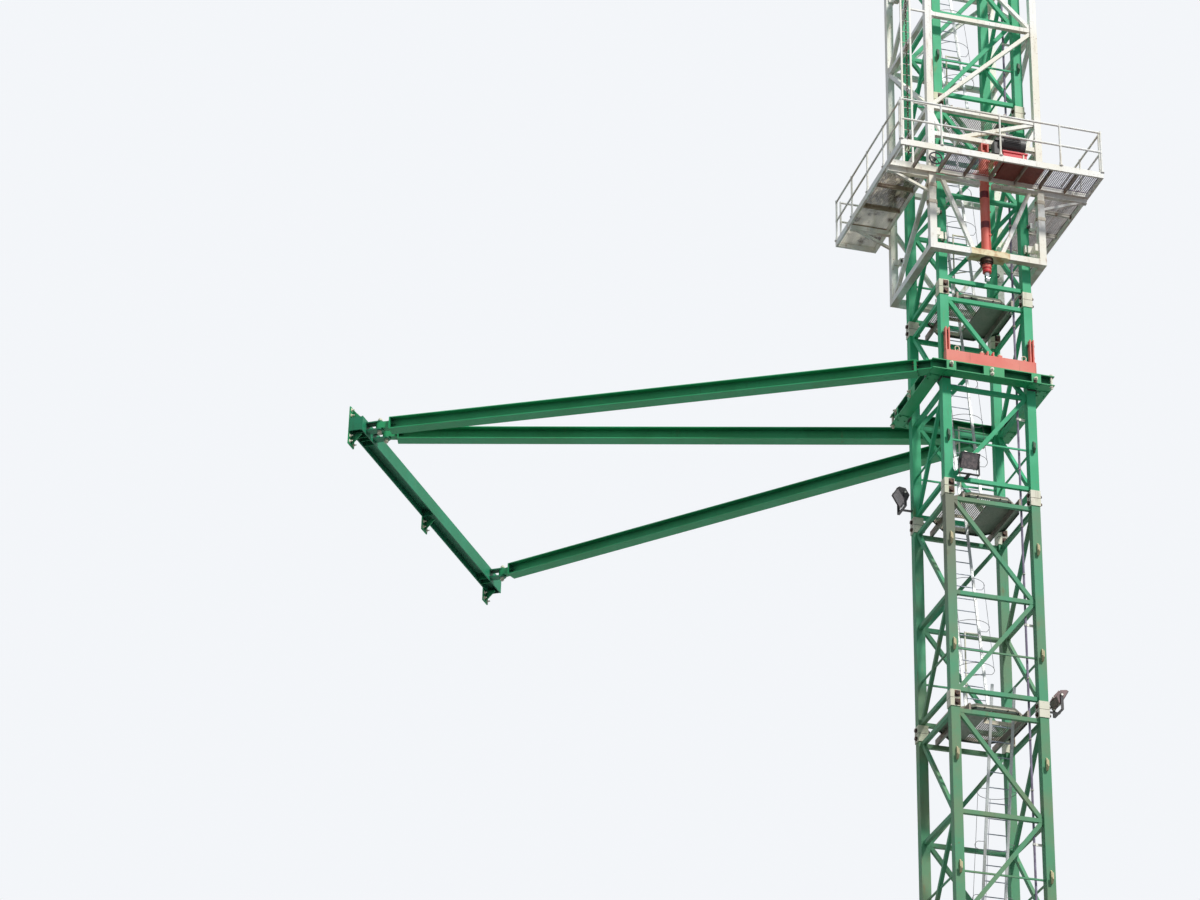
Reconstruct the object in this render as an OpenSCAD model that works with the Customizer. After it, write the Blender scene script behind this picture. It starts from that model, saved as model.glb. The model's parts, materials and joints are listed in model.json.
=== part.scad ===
// Tower crane mast with its climbing cage, tie collar and the struts that hold it to a wall.
// Millimetres, +Z up. The origin is the middle of the front left leg's foot.
// The mast's own axis stands half a leg spacing away in X and in Y.

/* [Mast] */
// Height of one mast section
section_h = 5000; // [4600:100:5400]
// Distance between leg centres
leg_pitch = 1980; // [1900:20:2080]
// Width of a square leg
leg_w = 200; // [180:5:215]
// Depth of the diagonals and horizontals in the plane of a side
brace_w = 92; // [70:2:110]
// Thickness of the horizontals square to the side
brace_t = 86; // [60:2:100]
// Thickness of the diagonals square to the side
diagonal_t = 78; // [50:2:92]
// Thickness of the thin rod across each side
rod_w = 36; // [24:2:50]
// Width of a leg coupling sleeve
coupling_w = 230; // [222:2:240]
// Height of a leg coupling sleeve
coupling_h = 370; // [320:10:400]
// Height of the end horizontals above and below a joint
end_brace_z = 245; // [240:5:300]
// Height of the thin rod above the foot of its section
rod_z = 1200; // [1000:50:1400]

/* [Climbing lugs] */
// Distance from a joint to the nearest climbing lug
lug_step = 1250; // [1200:10:1300]
// How far a lug stands out from its leg
lug_out = 112; // [100:2:118]
// Height of a lug plate
lug_h = 300; // [240:10:340]
// Thickness of a lug plate
lug_t = 30; // [20:1:34]
// Diameter of the pins that rest in the lugs
climb_pin_d = 56; // [40:1:60]

/* [Ladders and rest platforms] */
// Width of a ladder over its stiles
ladder_w = 440; // [400:10:480]
// Spacing of the rungs
rung_step = 300; // [250:10:330]
// Thickness of a ladder stile
stile_w = 44; // [30:2:50]
// Width of a rest platform
platform_w = 1720; // [1640:10:1740]
// Corner cut of a rest platform
platform_cut = 430; // [400:10:480]
// Height of the bearers under a rest platform
bearer_h = 150; // [120:5:180]
// Width of the bearers under a rest platform
bearer_w = 46; // [36:2:56]
// Thickness of the plate of a rest platform
platform_t = 30; // [20:1:40]

/* [Power cable] */
// Diameter of the power cable inside the mast
cable_d = 54; // [40:2:56]

/* [Floodlights] */
// Width of a floodlight
lamp_w = 420; // [380:10:460]
// Height of a floodlight
lamp_h = 360; // [300:10:400]
// Depth of a floodlight
lamp_d = 150; // [120:5:180]
// Reach of a floodlight bracket
lamp_reach = 240; // [230:5:280]
// Downward tilt of the floodlights as found
lamp_tilt = 30; // [20:1:35]

/* [Tie collar] */
// Drop from the pins that carry the yoke to the collar's middle plane
collar_drop = 940; // [900:10:980]
// Height of a collar beam
collar_h = 240; // [220:5:260]
// Width of a collar beam
collar_w = 300; // [280:5:320]
// Gap between a leg and a collar beam, filled by the wedge pads
pad_t = 30; // [20:1:40]
// Flange thickness of a collar beam
collar_flange = 20; // [16:1:26]
// Web thickness of a collar beam
collar_web = 16; // [12:1:24]
// Widths of the stiffener plates near the ends and in the middle of a collar beam
stiffener_end_w = 220; // [160:10:260]
stiffener_mid_w = 480; // [400:10:560]

/* [Struts and wall beam] */
// Height and width of a strut
strut_w = 300; // [280:5:310]
// Flange thickness of a strut
strut_flange = 20; // [16:1:26]
// Web thickness of a strut
strut_web = 16; // [12:1:24]
// Direction of the wall, turned from +X
wall_angle = 55.7; // [53:0.1:58]
// Distance from the mast's axis to the wall beam's near face
wall_dist = 13420; // [13000:10:13800]
// Distance from the wall beam's near face to the pins
pin_standoff = 300; // [280:5:340]
// Places of the far, middle and near strut pins along the wall
pin_far = -2755; // [-2850:5:-2700]
pin_middle = -2345; // [-2400:5:-2250]
pin_near = 5130; // [4900:10:5300]
// Diameter of the strut pins
strut_pin_d = 60; // [50:1:70]
// Far and near ends of the wall beam along the wall
wall_far_end = -3060; // [-3200:10:-3020]
wall_near_end = 5830; // [5700:10:6000]
// Depth of the wall beam square to the wall
wall_beam_d = 320; // [280:5:360]
// Height of the wall beam's flanges
wall_beam_h = 350; // [320:5:380]
// Height of the anchor plates at the wall
anchor_h = 950; // [800:10:1100]

/* [Climbing cage] */
// Distance between the cage's post centres beyond that of the legs
cage_spread = 620; // [600:5:660]
// Width of a cage post
post_w = 160; // [140:5:170]
// Drop from the pawls' pins to the cage's lower edge
cage_drop = 450; // [400:10:520]
// Height of the cage from edge to edge
cage_h = 9050; // [8900:10:9150]
// Height of the bottom beams
cage_beam_h = 150; // [130:5:200]
// Thickness of the cage's ring beams
ring_w = 110; // [90:2:130]
// Thickness of the cage's diagonals
cage_brace_w = 90; // [70:2:100]
// Rise from the cage's lower edge to the two low rings and to the middle ring
ring_low_rise = 3080; // [3040:10:3160]
ring_high_rise = 3810; // [3700:10:3900]
ring_mid_rise = 6390; // [6200:10:6600]
// Half width of the saddle that the ram passes through
saddle_half = 430; // [400:10:460]
// Distance from the saddle's middle to the feet of its braces
saddle_brace_x = 330; // [300:10:340]
// Distance from the middle to the heads of those braces under the deck
saddle_head_x = 1050; // [1000:10:1100]
// Distance from the middle to the feet of the steep braces between the low rings
ring_brace_x = 1000; // [950:10:1050]
// Foot of the long brace between the low rings
long_brace_x = -650; // [-700:10:-600]
// Thickness of the knee braces under the deck and their length down the post
knee_w = 60; // [50:2:70]
knee_drop = 480; // [400:10:560]

/* [Guide rollers and pawls] */
// Diameter of a guide roller
roller_d = 96; // [80:2:110]
// Width of a guide roller
roller_w = 50; // [40:2:60]
// Distance from a leg's centre line to the middle of its roller
roller_shift = 65; // [55:1:75]
// Rise from the cage's lower edge to the low rollers
roller_low_rise = 1100; // [1000:10:1200]
// Drop from the cage's upper edge to the high rollers
roller_high_drop = 550; // [450:10:650]
// Diameter of the rollers' axles
axle_d = 40; // [30:2:44]
// Thickness of the cheeks of a pawl or of a yoke's fork
cheek_t = 30; // [24:1:36]

/* [Cage deck] */
// Rise from the cage's lower edge to the deck's underside
deck_rise = 1970; // [1900:10:2040]
// Height of the deck's edge band
deck_h = 150; // [130:5:180]
// Thickness of the edge band
band_t = 50; // [40:1:60]
// Thickness of the deck's floor
floor_t = 24; // [16:1:34]
// Widths of the left deck, the right deck and the front deck beyond the cage's posts
deck_left_w = 990; // [920:10:1070]
deck_right_w = 1085; // [1020:5:1120]
deck_front_w = 910; // [820:10:1020]
// Reach of the side decks behind the cage's back posts
deck_back_w = 910; // [820:10:1020]
// Spacing of the joists under the front deck and under the side decks, at most
joist_pitch = 620; // [610:5:660]
side_joist_pitch = 950; // [925:5:1000]
// Height of the guard rails above the deck
rail_h = 1100; // [1000:10:1150]
// Diameter of the guard rail tubes
rail_d = 48; // [40:1:54]
// Places of the front rail's left, middle and right posts from the mast's axis
rail_post_left = -1390; // [-1450:10:-1300]
rail_post_middle = 10; // [-50:10:60]
rail_post_right = 1450; // [1350:10:1500]
// Distance from the cage's post to the upright ladder
ladder_out = 560; // [500:10:620]
// Spacing of the upright ladder's rails
cage_ladder_w = 220; // [200:5:300]

/* [Power pack] */
// Length, depth and height of the tank
pack_l = 560; // [500:10:620]
pack_d = 560; // [500:10:600]
pack_h = 270; // [240:10:320]
// Distance from the mast's axis to the tank's left end
pack_x = 130; // [80:10:160]
// Distance from the deck's front edge to the tank
pack_inset = 160; // [120:10:200]
// Diameter and length of the motor
motor_d = 380; // [320:10:420]
motor_l = 600; // [480:10:640]
// Height of the motor's foot
motor_foot_h = 160; // [120:10:200]

/* [Climbing ram] */
// Distance of the ram's axis in front of the legs' faces
ram_standoff = 120; // [110:1:130]
// Outer diameter of the ram's barrel
barrel_d = 210; // [190:2:216]
// Diameter of the ram's rod
rod_d = 120; // [100:2:130]
// Drop from the cage's lower edge to the barrel's lower end
barrel_drop = 350; // [300:10:400]
// Distance from the low ring down to the barrel's upper end
barrel_top_drop = 320; // [300:5:380]
// Distance from the barrel's lower end down to the rod's eye
rod_eye_drop = 160; // [140:5:180]
// Stroke that the rod's length allows for
ram_stroke = 1600; // [1400:50:1600]
// Diameter of the pins at the ram's two ends
ram_pin_d = 60; // [50:1:64]
// Thickness and diameter of the rod's eye
eye_t = 80; // [70:2:90]
eye_d = 130; // [120:2:140]

/* [Climbing yoke] */
// Height of the yoke's bar
yoke_h = 340; // [300:5:360]
// Depth of the yoke's bar
yoke_d = 170; // [150:2:176]
// How far the bar runs past the middle of a lug
yoke_overhang = 62; // [58:1:100]
// Thickness of the ears for the ram's eye
ear_t = 30; // [24:1:40]
// Height of the ears' bore above the bar
ear_rise = 60; // [55:1:70]

/* [Hidden] */
section_n = 5;
seat = 0.3;
running = 0.08;
clear = 5;
round_sides = 48;
pipe_sides = 8;
mast_h = section_h * section_n;
half_pitch = leg_pitch / 2;
cage_pitch = leg_pitch + cage_spread;
leg_face = half_pitch + leg_w / 2;
leg_gap = leg_pitch - leg_w;
collar_in = leg_face + pad_t;
collar_out = collar_in + collar_w;
collar_mid = collar_in + collar_w / 2;
lug_level = section_h * 3 - lug_step;
pawl_level = lug_level + 2 * lug_step;
collar_z = lug_level - collar_drop;
collar_top = collar_z + collar_h / 2;
pin_line = leg_face + 75;
ram_y = leg_face + ram_standoff;
cage_half = cage_pitch / 2;
cage_face = cage_half + post_w / 2;
cage_gap = cage_pitch - post_w;
deck_reach_left = cage_face + deck_left_w;
deck_reach_right = cage_face + deck_right_w;
deck_front_y = cage_face + deck_front_w;
deck_back_y = cage_face + deck_back_w;
cage_bottom = pawl_level - cage_drop;
cage_top = cage_bottom + cage_h;
ring_low = cage_bottom + ring_low_rise;
ring_high = cage_bottom + ring_high_rise;
ring_mid = cage_bottom + ring_mid_rise;
barrel_bottom = cage_bottom - barrel_drop;
barrel_top = ring_low - barrel_top_drop;
rod_eye_z = barrel_bottom - rod_eye_drop;
deck_z = cage_bottom + deck_rise;
deck_top = deck_z + deck_h;
strut_z = collar_z;
fork_gap = 160;
fork_t = 30;
fork_w = 200;
tongue_len = 256;
stub_len = 460;
strut_plate_t = 30;
collar_pin_y = collar_out + 200;
far_pin = wall_point(pin_far);
middle_pin = wall_point(pin_middle);
near_pin = wall_point(pin_near);
collar_corner = [-collar_mid, -collar_mid];
middle_collar_pin = [220, collar_pin_y];
near_collar_pin = [880, collar_pin_y];
mast_green = [0.13, 0.52, 0.34];
tie_green = [0.04, 0.45, 0.25];
cage_white = [0.88, 0.86, 0.80];
yoke_red = [0.84, 0.36, 0.32];

// A point on the line of the strut pins, a distance along the wall
function wall_point(along) =
    [along * cos(wall_angle) - (wall_dist - pin_standoff) * sin(wall_angle),
     along * sin(wall_angle) + (wall_dist - pin_standoff) * cos(wall_angle)];
function heading(from, to) = atan2(to[1] - from[1], to[0] - from[0]);
function reach(from, to) = norm(to - from);

// Everything is drawn about the mast's axis and moved so that the front left leg stands on the origin
module about_axis() translate([half_pitch, half_pitch, 0]) children();

// A straight bar between two points [x, z], in a plane that faces -Y
module bar(a, b, w, t) {
    length = norm(b - a);
    angle = atan2(b[1] - a[1], b[0] - a[0]);
    translate([a[0], 0, a[1]]) rotate([0, -angle, 0]) translate([0, -t / 2, -w / 2]) cube([length, t, w]);
}

// A box between two corners
module block(low, high) translate(low) cube(high - low);

// A rolled beam along +X, flanges above and below the web
module rolled_beam(length, h, w, flange, web)
    rotate([90, 0, 90]) linear_extrude(length) polygon([
        [-w / 2, -h / 2], [w / 2, -h / 2], [w / 2, flange - h / 2], [web / 2, flange - h / 2],
        [web / 2, h / 2 - flange], [w / 2, h / 2 - flange], [w / 2, h / 2], [-w / 2, h / 2],
        [-w / 2, h / 2 - flange], [-web / 2, h / 2 - flange], [-web / 2, flange - h / 2], [-w / 2, flange - h / 2]
    ]);

// Zigzag bracing of one side of a section, on a side that faces -Y
module side_bracing() {
    low = end_brace_z;
    mid = section_h / 2;
    high = section_h - end_brace_z;
    bar([-half_pitch, low], [half_pitch, low], brace_w, brace_t);
    bar([-half_pitch, mid], [half_pitch, mid], brace_w, brace_t);
    bar([-half_pitch, high], [half_pitch, high], brace_w, brace_t);
    bar([-leg_gap / 2, high], [leg_gap / 2, mid], brace_w, diagonal_t);
    bar([leg_gap / 2, mid], [-leg_gap / 2, low], brace_w, diagonal_t);
    bar([-half_pitch, rod_z], [half_pitch, rod_z], rod_w, rod_w);
}

// Two legs of a section with the bracing between them
module mast_side() translate([0, -half_pitch, 0]) {
    for (side = [-1, 1])
        translate([side * half_pitch - leg_w / 2, -leg_w / 2, coupling_h / 2])
            cube([leg_w, leg_w, section_h - coupling_h]);
    intersection() {
        side_bracing();
        block([-half_pitch, -leg_w, 0], [half_pitch, leg_w, section_h]);
    }
}

// Bracing that fits between the legs of two neighbouring sides
module mast_infill() translate([0, -half_pitch, 0]) intersection() {
    side_bracing();
    block([-leg_gap / 2, -leg_w, 0], [leg_gap / 2, leg_w, section_h]);
}

// Plate on a front leg with an open notch that a climbing pin drops into
module climbing_lug() {
    notch = climb_pin_d / 2 + seat;
    centre = pin_line - leg_face;
    difference() {
        translate([-lug_t / 2, 0, 0]) rotate([90, 0, 90]) linear_extrude(lug_t) polygon([
            [0, -lug_h / 2], [-lug_out / 2, -lug_h / 2], [-lug_out, -lug_h / 4],
            [-lug_out, lug_h / 5], [0, lug_h / 2]
        ]);
        translate([-lug_t, -centre, 0]) rotate([0, 90, 0]) cylinder(h = 2 * lug_t, r = notch, $fn = round_sides);
        translate([-lug_t, -centre - notch, 0]) cube([2 * lug_t, 2 * notch, lug_h]);
    }
}

module mast_front(k) about_axis() color(mast_green) translate([0, 0, section_h * k]) mast_side();

// Two lugs on each front leg in every section
module climbing_lugs() about_axis() color(mast_green)
    for (k = [0 : section_n - 1], side = [-1, 1], z = [lug_step, section_h - lug_step])
        translate([side * half_pitch, -leg_face, section_h * k + z]) climbing_lug();

module mast_back(k) about_axis() color(mast_green)
    translate([0, 0, section_h * k]) rotate([0, 0, 180]) mast_side();

module mast_bracing(turn) about_axis() color(mast_green) for (k = [0 : section_n - 1])
    translate([0, 0, section_h * k]) rotate([0, 0, turn]) mast_infill();

// Sleeves that join the legs of two sections, half sleeves at the foot and at the head
module leg_couplings() about_axis() color(cage_white)
    for (x = [-half_pitch, half_pitch], y = [-half_pitch, half_pitch], k = [0 : section_n]) {
        low = max(0, section_h * k - coupling_h / 2);
        high = min(mast_h, section_h * k + coupling_h / 2);
        translate([x - coupling_w / 2, y - coupling_w / 2, low]) cube([coupling_w, coupling_w, high - low]);
    }

platform_z = section_h - end_brace_z + brace_w / 2;
platform_top = platform_z + bearer_h + platform_t;
ladder_foot_y = -560;
ladder_head_y = 560;
hatch_x = 300;
hatch_half = 320;
hatch_low_y = 180;
hatch_depth = 580;

// Octagon outline of a rest platform
module platform_outline() {
    h = platform_w / 2;
    c = platform_cut;
    polygon([[-h + c, -h], [h - c, -h], [h, -h + c], [h, h - c], [h - c, h], [-h + c, h], [-h, h - c], [-h, -h + c]]);
}

// Bearers on the end horizontals and a plate with a hatch for the ladder
module rest_platform() {
    bearer_x = hatch_x + hatch_half + clear + bearer_w / 2;
    for (x = [-bearer_x, bearer_x])
        translate([x - bearer_w / 2, -half_pitch - brace_t / 2, platform_z])
            cube([bearer_w, leg_pitch + brace_t, bearer_h]);
    translate([0, 0, platform_z + bearer_h]) difference() {
        linear_extrude(platform_t) platform_outline();
        translate([-hatch_x - hatch_half, hatch_low_y, -1]) cube([2 * hatch_half, hatch_depth, platform_t + 2]);
    }
}

// The lowest ladder leans to the front and the others to the back, each with its hatch
function climb_turn(k) = k == 0 ? 180 : 0;

module rest_platforms() about_axis() color([0.72, 0.68, 0.62]) for (k = [0 : section_n - 2])
    translate([0, 0, section_h * k]) rotate([0, 0, climb_turn(k)]) rest_platform();

// Leaning ladder between two platforms, its stiles seated on the lower one
module ladder(foot_z, head_z, x) {
    lean = atan2(ladder_head_y - ladder_foot_y, head_z - foot_z);
    length = norm([ladder_head_y - ladder_foot_y, head_z - foot_z]);
    heel = (seat + stile_w / 2 * sin(lean)) / cos(lean);
    translate([x, ladder_foot_y, foot_z]) rotate([-lean, 0, 0]) {
        for (side = [-1, 1])
            translate([side * (ladder_w - stile_w) / 2 - stile_w / 2, -stile_w / 2, heel])
                cube([stile_w, stile_w, length]);
        for (z = [rung_step : rung_step : length - 40])
            translate([-ladder_w / 2 + 10, 0, z]) rotate([0, 90, 0])
                cylinder(h = ladder_w - 20, d = 26, $fn = 6);
    }
}

foot_bar_w = 60;

// Bar between the side horizontals that the lowest ladder stands on
module ladder_foot_bar() {
    end = half_pitch - brace_t / 2;
    block([-end, ladder_foot_y - 40, end_brace_z - foot_bar_w / 2], [end, ladder_foot_y + 40, end_brace_z + foot_bar_w / 2]);
}

module ladders() about_axis() color([0.80, 0.80, 0.78]) {
    rotate([0, 0, climb_turn(0)]) ladder_foot_bar();
    for (k = [0 : section_n - 1]) {
        foot = k == 0 ? end_brace_z + foot_bar_w / 2 : section_h * (k - 1) + platform_top;
        head = section_h * k + platform_top + (k == section_n - 1 ? -400 : 700);
        rotate([0, 0, climb_turn(k)]) ladder(foot, head, -hatch_x);
    }
}

cable_x = half_pitch - 270;
cable_y = 185 - leg_face;

module power_cable() about_axis() color([0.40, 0.36, 0.42])
    translate([cable_x, cable_y, 300]) cylinder(h = mast_h - 600, d = cable_d, $fn = pipe_sides);

// Clips from the front right leg to the cable, one in each section
module cable_clips() about_axis() color([0.85, 0.85, 0.82]) for (k = [0 : section_n - 1])
    translate([0, cable_y, section_h * (k + 0.4)]) difference() {
        union() {
            translate([cable_x, -15, -25]) cube([half_pitch - leg_w / 2 - cable_x, 30, 50]);
            translate([cable_x, 0, -25]) cylinder(h = 50, d = cable_d + 22, $fn = pipe_sides);
        }
        translate([cable_x, 0, -30]) cylinder(h = 60, d = cable_d + 2 * seat, $fn = pipe_sides);
    }

lamp_arm = 330;
strap_t = 16;
trunnion_d = 30;
lamp_inset = 390;
lamp_rise = 370;
places_of_lamps = [
    [lamp_inset - half_pitch, -half_pitch - brace_t / 2, section_h * 2 + end_brace_z, 0],
    [-leg_face, half_pitch, section_h * 2 + lamp_rise, -90],
    [half_pitch + coupling_w / 2, -half_pitch, section_h, 90]
];

// Moves to the seat of a floodlight bracket, with -Y pointing away from the mast
module at_lamp(i) {
    p = places_of_lamps[i];
    translate([p[0], p[1], p[2]]) rotate([0, 0, p[3]]) children();
}

// Stem and forked strap that a floodlight hangs in
module floodlight_bracket() {
    inner = lamp_w / 2 + 14;
    translate([-40, -lamp_reach - 40, -strap_t / 2]) cube([80, lamp_reach + 40, strap_t]);
    translate([-inner - strap_t, -lamp_reach - 30, -strap_t / 2]) cube([2 * (inner + strap_t), 60, strap_t]);
    for (side = [-1, 1]) difference() {
        translate([side * (inner + strap_t / 2) - strap_t / 2, -lamp_reach - 30, -strap_t / 2])
            cube([strap_t, 60, lamp_arm + 40]);
        translate([side * inner - 50, -lamp_reach, lamp_arm]) rotate([0, 90, 0])
            cylinder(h = 100, d = trunnion_d + 2 * running, $fn = round_sides);
    }
}

module floodlight_brackets() about_axis() color([0.75, 0.75, 0.72])
    for (i = [0 : 2]) at_lamp(i) floodlight_bracket();

// Housing with a stepped rim, cooling ribs and two trunnions
module floodlight(i) about_axis() color([0.12, 0.12, 0.13]) at_lamp(i) translate([0, -lamp_reach, lamp_arm]) {
    rotate([lamp_tilt, 0, 0]) {
        rotate([90, 0, 90]) translate([0, 0, -lamp_w / 2]) linear_extrude(lamp_w) polygon([
            [-lamp_d / 2, -lamp_h / 2], [-lamp_d / 2 + 40, -lamp_h / 2], [lamp_d / 2, -lamp_h / 4],
            [lamp_d / 2, lamp_h / 4], [-lamp_d / 2 + 40, lamp_h / 2], [-lamp_d / 2, lamp_h / 2]
        ]);
        for (x = [-150 : 60 : 150])
            translate([x - 4, lamp_d / 2 - 10, -lamp_h / 4]) cube([8, 34, lamp_h / 2]);
    }
    translate([-lamp_w / 2 - 14 - strap_t, 0, 0]) rotate([0, 90, 0])
        cylinder(h = lamp_w + 28 + 2 * strap_t, d = trunnion_d, $fn = round_sides);
}

// Flat stiffener plates let into the outer side of a collar beam, about a middle place
module collar_stiffeners(middle) for (plate = [[-half_pitch, stiffener_end_w], [0, stiffener_mid_w], [half_pitch, stiffener_end_w]])
    translate([middle + plate[0] - plate[1] / 2, -collar_w / 2, -collar_h / 2]) cube([plate[1], collar_w / 2, collar_h]);

// Two plates, one above the other, with a hole for an upright pin, reaching to -X
module pin_fork(length) for (side = [-1, 1]) difference() {
    translate([0, 0, side * (fork_gap + fork_t) / 2 - fork_t / 2]) union() {
        cylinder(h = fork_t, d = fork_w, $fn = round_sides);
        translate([-length, -fork_w / 2, 0]) cube([length, fork_w, fork_t]);
    }
    translate([0, 0, -fork_gap]) cylinder(h = 2 * fork_gap, d = strut_pin_d + 2 * running, $fn = round_sides);
}

module collar_front() about_axis() color(tie_green) translate([0, 0, collar_z]) {
    translate([-collar_out, -collar_mid, 0])
        rolled_beam(2 * collar_out, collar_h, collar_w, collar_flange, collar_web);
    translate([0, -collar_mid, 0]) collar_stiffeners(0);
    difference() {
        corner_stub();
        block([-collar_out, -collar_in, -strut_w], [-collar_in, 0, strut_w]);
    }
}

// Stub at the front left corner that the far strut bolts to
module corner_stub() translate([collar_corner[0], collar_corner[1], 0])
    rotate([0, 0, heading(collar_corner, far_pin)]) {
        rolled_beam(stub_len - strut_plate_t, collar_h - 2 * clear, collar_w - 2 * clear, collar_flange, collar_web);
        translate([stub_len - strut_plate_t, 0, 0]) end_plate();
    }

module collar_left() about_axis() color(tie_green) translate([-collar_mid, -collar_in, collar_z])
    rotate([0, 0, 90]) {
        rolled_beam(collar_in + collar_out, collar_h, collar_w, collar_flange, collar_web);
        mirror([0, 1, 0]) collar_stiffeners(collar_in);
    }

module collar_right() about_axis() color(tie_green) translate([collar_mid, -collar_in, collar_z])
    rotate([0, 0, 90]) {
        rolled_beam(collar_in + collar_out, collar_h, collar_w, collar_flange, collar_web);
        collar_stiffeners(collar_in);
    }

module collar_back() about_axis() color(tie_green) translate([0, 0, collar_z]) {
    translate([-collar_in, collar_mid, 0])
        rolled_beam(2 * collar_in, collar_h, collar_w, collar_flange, collar_web);
    translate([middle_collar_pin[0], collar_pin_y, 0]) rotate([0, 0, 90]) pin_fork(collar_pin_y - collar_mid);
    translate([near_collar_pin[0], collar_pin_y, 0]) rotate([0, 0, 90]) pin_fork(collar_pin_y - collar_mid);
}

// Wedge pads between the legs and the collar beams
module collar_pads() about_axis() color([0.30, 0.34, 0.30]) for (turn = [0 : 90 : 270], side = [-1, 1])
    rotate([0, 0, turn]) translate([side * half_pitch, -leg_face - pad_t / 2, collar_z])
        cube([leg_w - 20, pad_t, collar_h + 60], center = true);

// Rounded plate at a strut's end that goes between the plates of a fork, pin at the origin
module strut_tongue() difference() {
    h = fork_gap - 2 * seat;
    translate([0, 0, -h / 2]) union() {
        cylinder(h = h, d = fork_w - 20, $fn = round_sides);
        translate([0, -fork_w / 2 + 10, 0]) cube([tongue_len, fork_w - 20, h]);
    }
    translate([0, 0, -fork_gap]) cylinder(h = 2 * fork_gap, d = strut_pin_d + 2 * running, $fn = round_sides);
}

module end_plate() translate([0, -strut_w / 2, -strut_w / 2]) cube([strut_plate_t, strut_w, strut_w]);

// Rolled beam from one pin to another point, with a tongue at its start and, if asked, at its end
module strut(from, to, end_short, pinned_end) color(tie_green)
    translate([from[0], from[1], strut_z]) rotate([0, 0, heading(from, to)]) {
        length = reach(from, to) - end_short;
        strut_tongue();
        translate([tongue_len, 0, 0]) end_plate();
        beam_end = pinned_end ? length - tongue_len : length;
        translate([tongue_len, 0, 0])
            rolled_beam(beam_end - tongue_len, strut_w, strut_w, strut_flange, strut_web);
        translate([beam_end - strut_plate_t, 0, 0]) end_plate();
        if (pinned_end) translate([length, 0, 0]) rotate([0, 0, 180]) strut_tongue();
    }

module strut_far() about_axis() strut(far_pin, collar_corner, stub_len + seat, false);
module strut_middle() about_axis() strut(middle_pin, middle_collar_pin, 0, true);
module strut_near() about_axis() strut(near_pin, near_collar_pin, 0, true);

// Upright pins with a head above and below their fork
module strut_pins() about_axis() color([0.85, 0.84, 0.78])
    for (p = [far_pin, middle_pin, near_pin, middle_collar_pin, near_collar_pin])
        translate([p[0], p[1], strut_z]) {
            reach_up = fork_gap / 2 + fork_t;
            translate([0, 0, -reach_up - 20]) cylinder(h = 2 * reach_up + 40, d = strut_pin_d, $fn = round_sides);
            for (z = [-reach_up - 45, reach_up + seat])
                translate([0, 0, z]) cylinder(h = 45 - seat, d = strut_pin_d + 30, $fn = 6);
        }

// Moves to the wall, +X along it, +Y towards the wall, at the wall beam's near face
module at_wall() about_axis() rotate([0, 0, wall_angle]) translate([0, wall_dist, 0]) children();

// Beam along the wall with its web level, and the forks of the three struts
module wall_beam() color(tie_green) at_wall() {
    flange = 24;
    web = 18;
    length = wall_near_end - wall_far_end;
    translate([wall_far_end, 0, strut_z - wall_beam_h / 2]) cube([length, flange, wall_beam_h]);
    translate([wall_far_end, wall_beam_d - flange, strut_z - wall_beam_h / 2]) cube([length, flange, wall_beam_h]);
    translate([wall_far_end, flange / 2, strut_z - web / 2]) cube([length, wall_beam_d - flange, web]);
    for (x = [wall_far_end, (wall_far_end + wall_near_end) / 2, wall_near_end - 20])
        translate([x, flange / 2, strut_z - wall_beam_h / 2 + 8]) cube([20, wall_beam_d - flange, wall_beam_h - 16]);
    for (x = [pin_far, pin_middle, pin_near])
        translate([x, -pin_standoff, strut_z]) rotate([0, 0, -90]) pin_fork(pin_standoff + flange / 2);
}

// Tall plates against the wall with gussets over and under the beam
module wall_anchors() color(tie_green) at_wall() {
    plate_t = 30;
    plate_w = 320;
    gusset = 240;
    for (x = [wall_far_end + 170, (wall_far_end + wall_near_end) / 2 + 200, wall_near_end - 200])
        translate([x, wall_beam_d, strut_z]) {
            translate([-plate_w / 2, 0, -anchor_h / 2]) cube([plate_w, plate_t, anchor_h]);
            for (side = [-1, 1]) mirror([0, 0, side < 0 ? 1 : 0])
                translate([-12, 0, wall_beam_h / 2]) rotate([90, 0, 90]) linear_extrude(24)
                    polygon([[1, 0], [-gusset, 0], [-gusset, 30], [1, anchor_h / 2 - wall_beam_h / 2 - 20]]);
        }
}

// Two cheek plates and the pin that drops into a lug's notch, centred on the pin
module fork_cheeks(low, high, depth) {
    inner = lug_t / 2 + clear;
    for (side = [-1, 1])
        translate([side * (inner + cheek_t / 2) - cheek_t / 2, -depth, low]) cube([cheek_t, depth + 45, high - low]);
    translate([-inner - cheek_t - 12, 0, 0]) rotate([0, 90, 0])
        cylinder(h = 2 * (inner + cheek_t + 12), d = climb_pin_d, $fn = round_sides);
}

yoke_low = collar_top + clear;
yoke_back = ram_y - yoke_d / 2;

// Bar with a fork at each end that hangs on two lugs, and ears for the ram's eye
module climbing_yoke() about_axis() color(yoke_red) {
    bar_top = yoke_low + yoke_h;
    ear_x = (eye_t + ear_t) / 2 + 2 * clear;
    block([-half_pitch - yoke_overhang, -yoke_back - yoke_d, yoke_low], [half_pitch + yoke_overhang, -yoke_back, bar_top]);
    for (side = [-1, 1]) translate([side * half_pitch, -pin_line, lug_level])
        fork_cheeks(yoke_low - lug_level + 20, 130, 80);
    for (side = [-1, 1]) difference() {
        translate([side * ear_x - ear_t / 2, -ram_y - ear_rise, bar_top - 5]) cube([ear_t, 2 * ear_rise, 2 * ear_rise + 5]);
        translate([side * ear_x - ear_t / 2 - 5, -ram_y, bar_top + ear_rise]) rotate([0, 90, 0])
            cylinder(h = ear_t + 10, d = ram_pin_d + 2, $fn = round_sides);
    }
}

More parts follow.
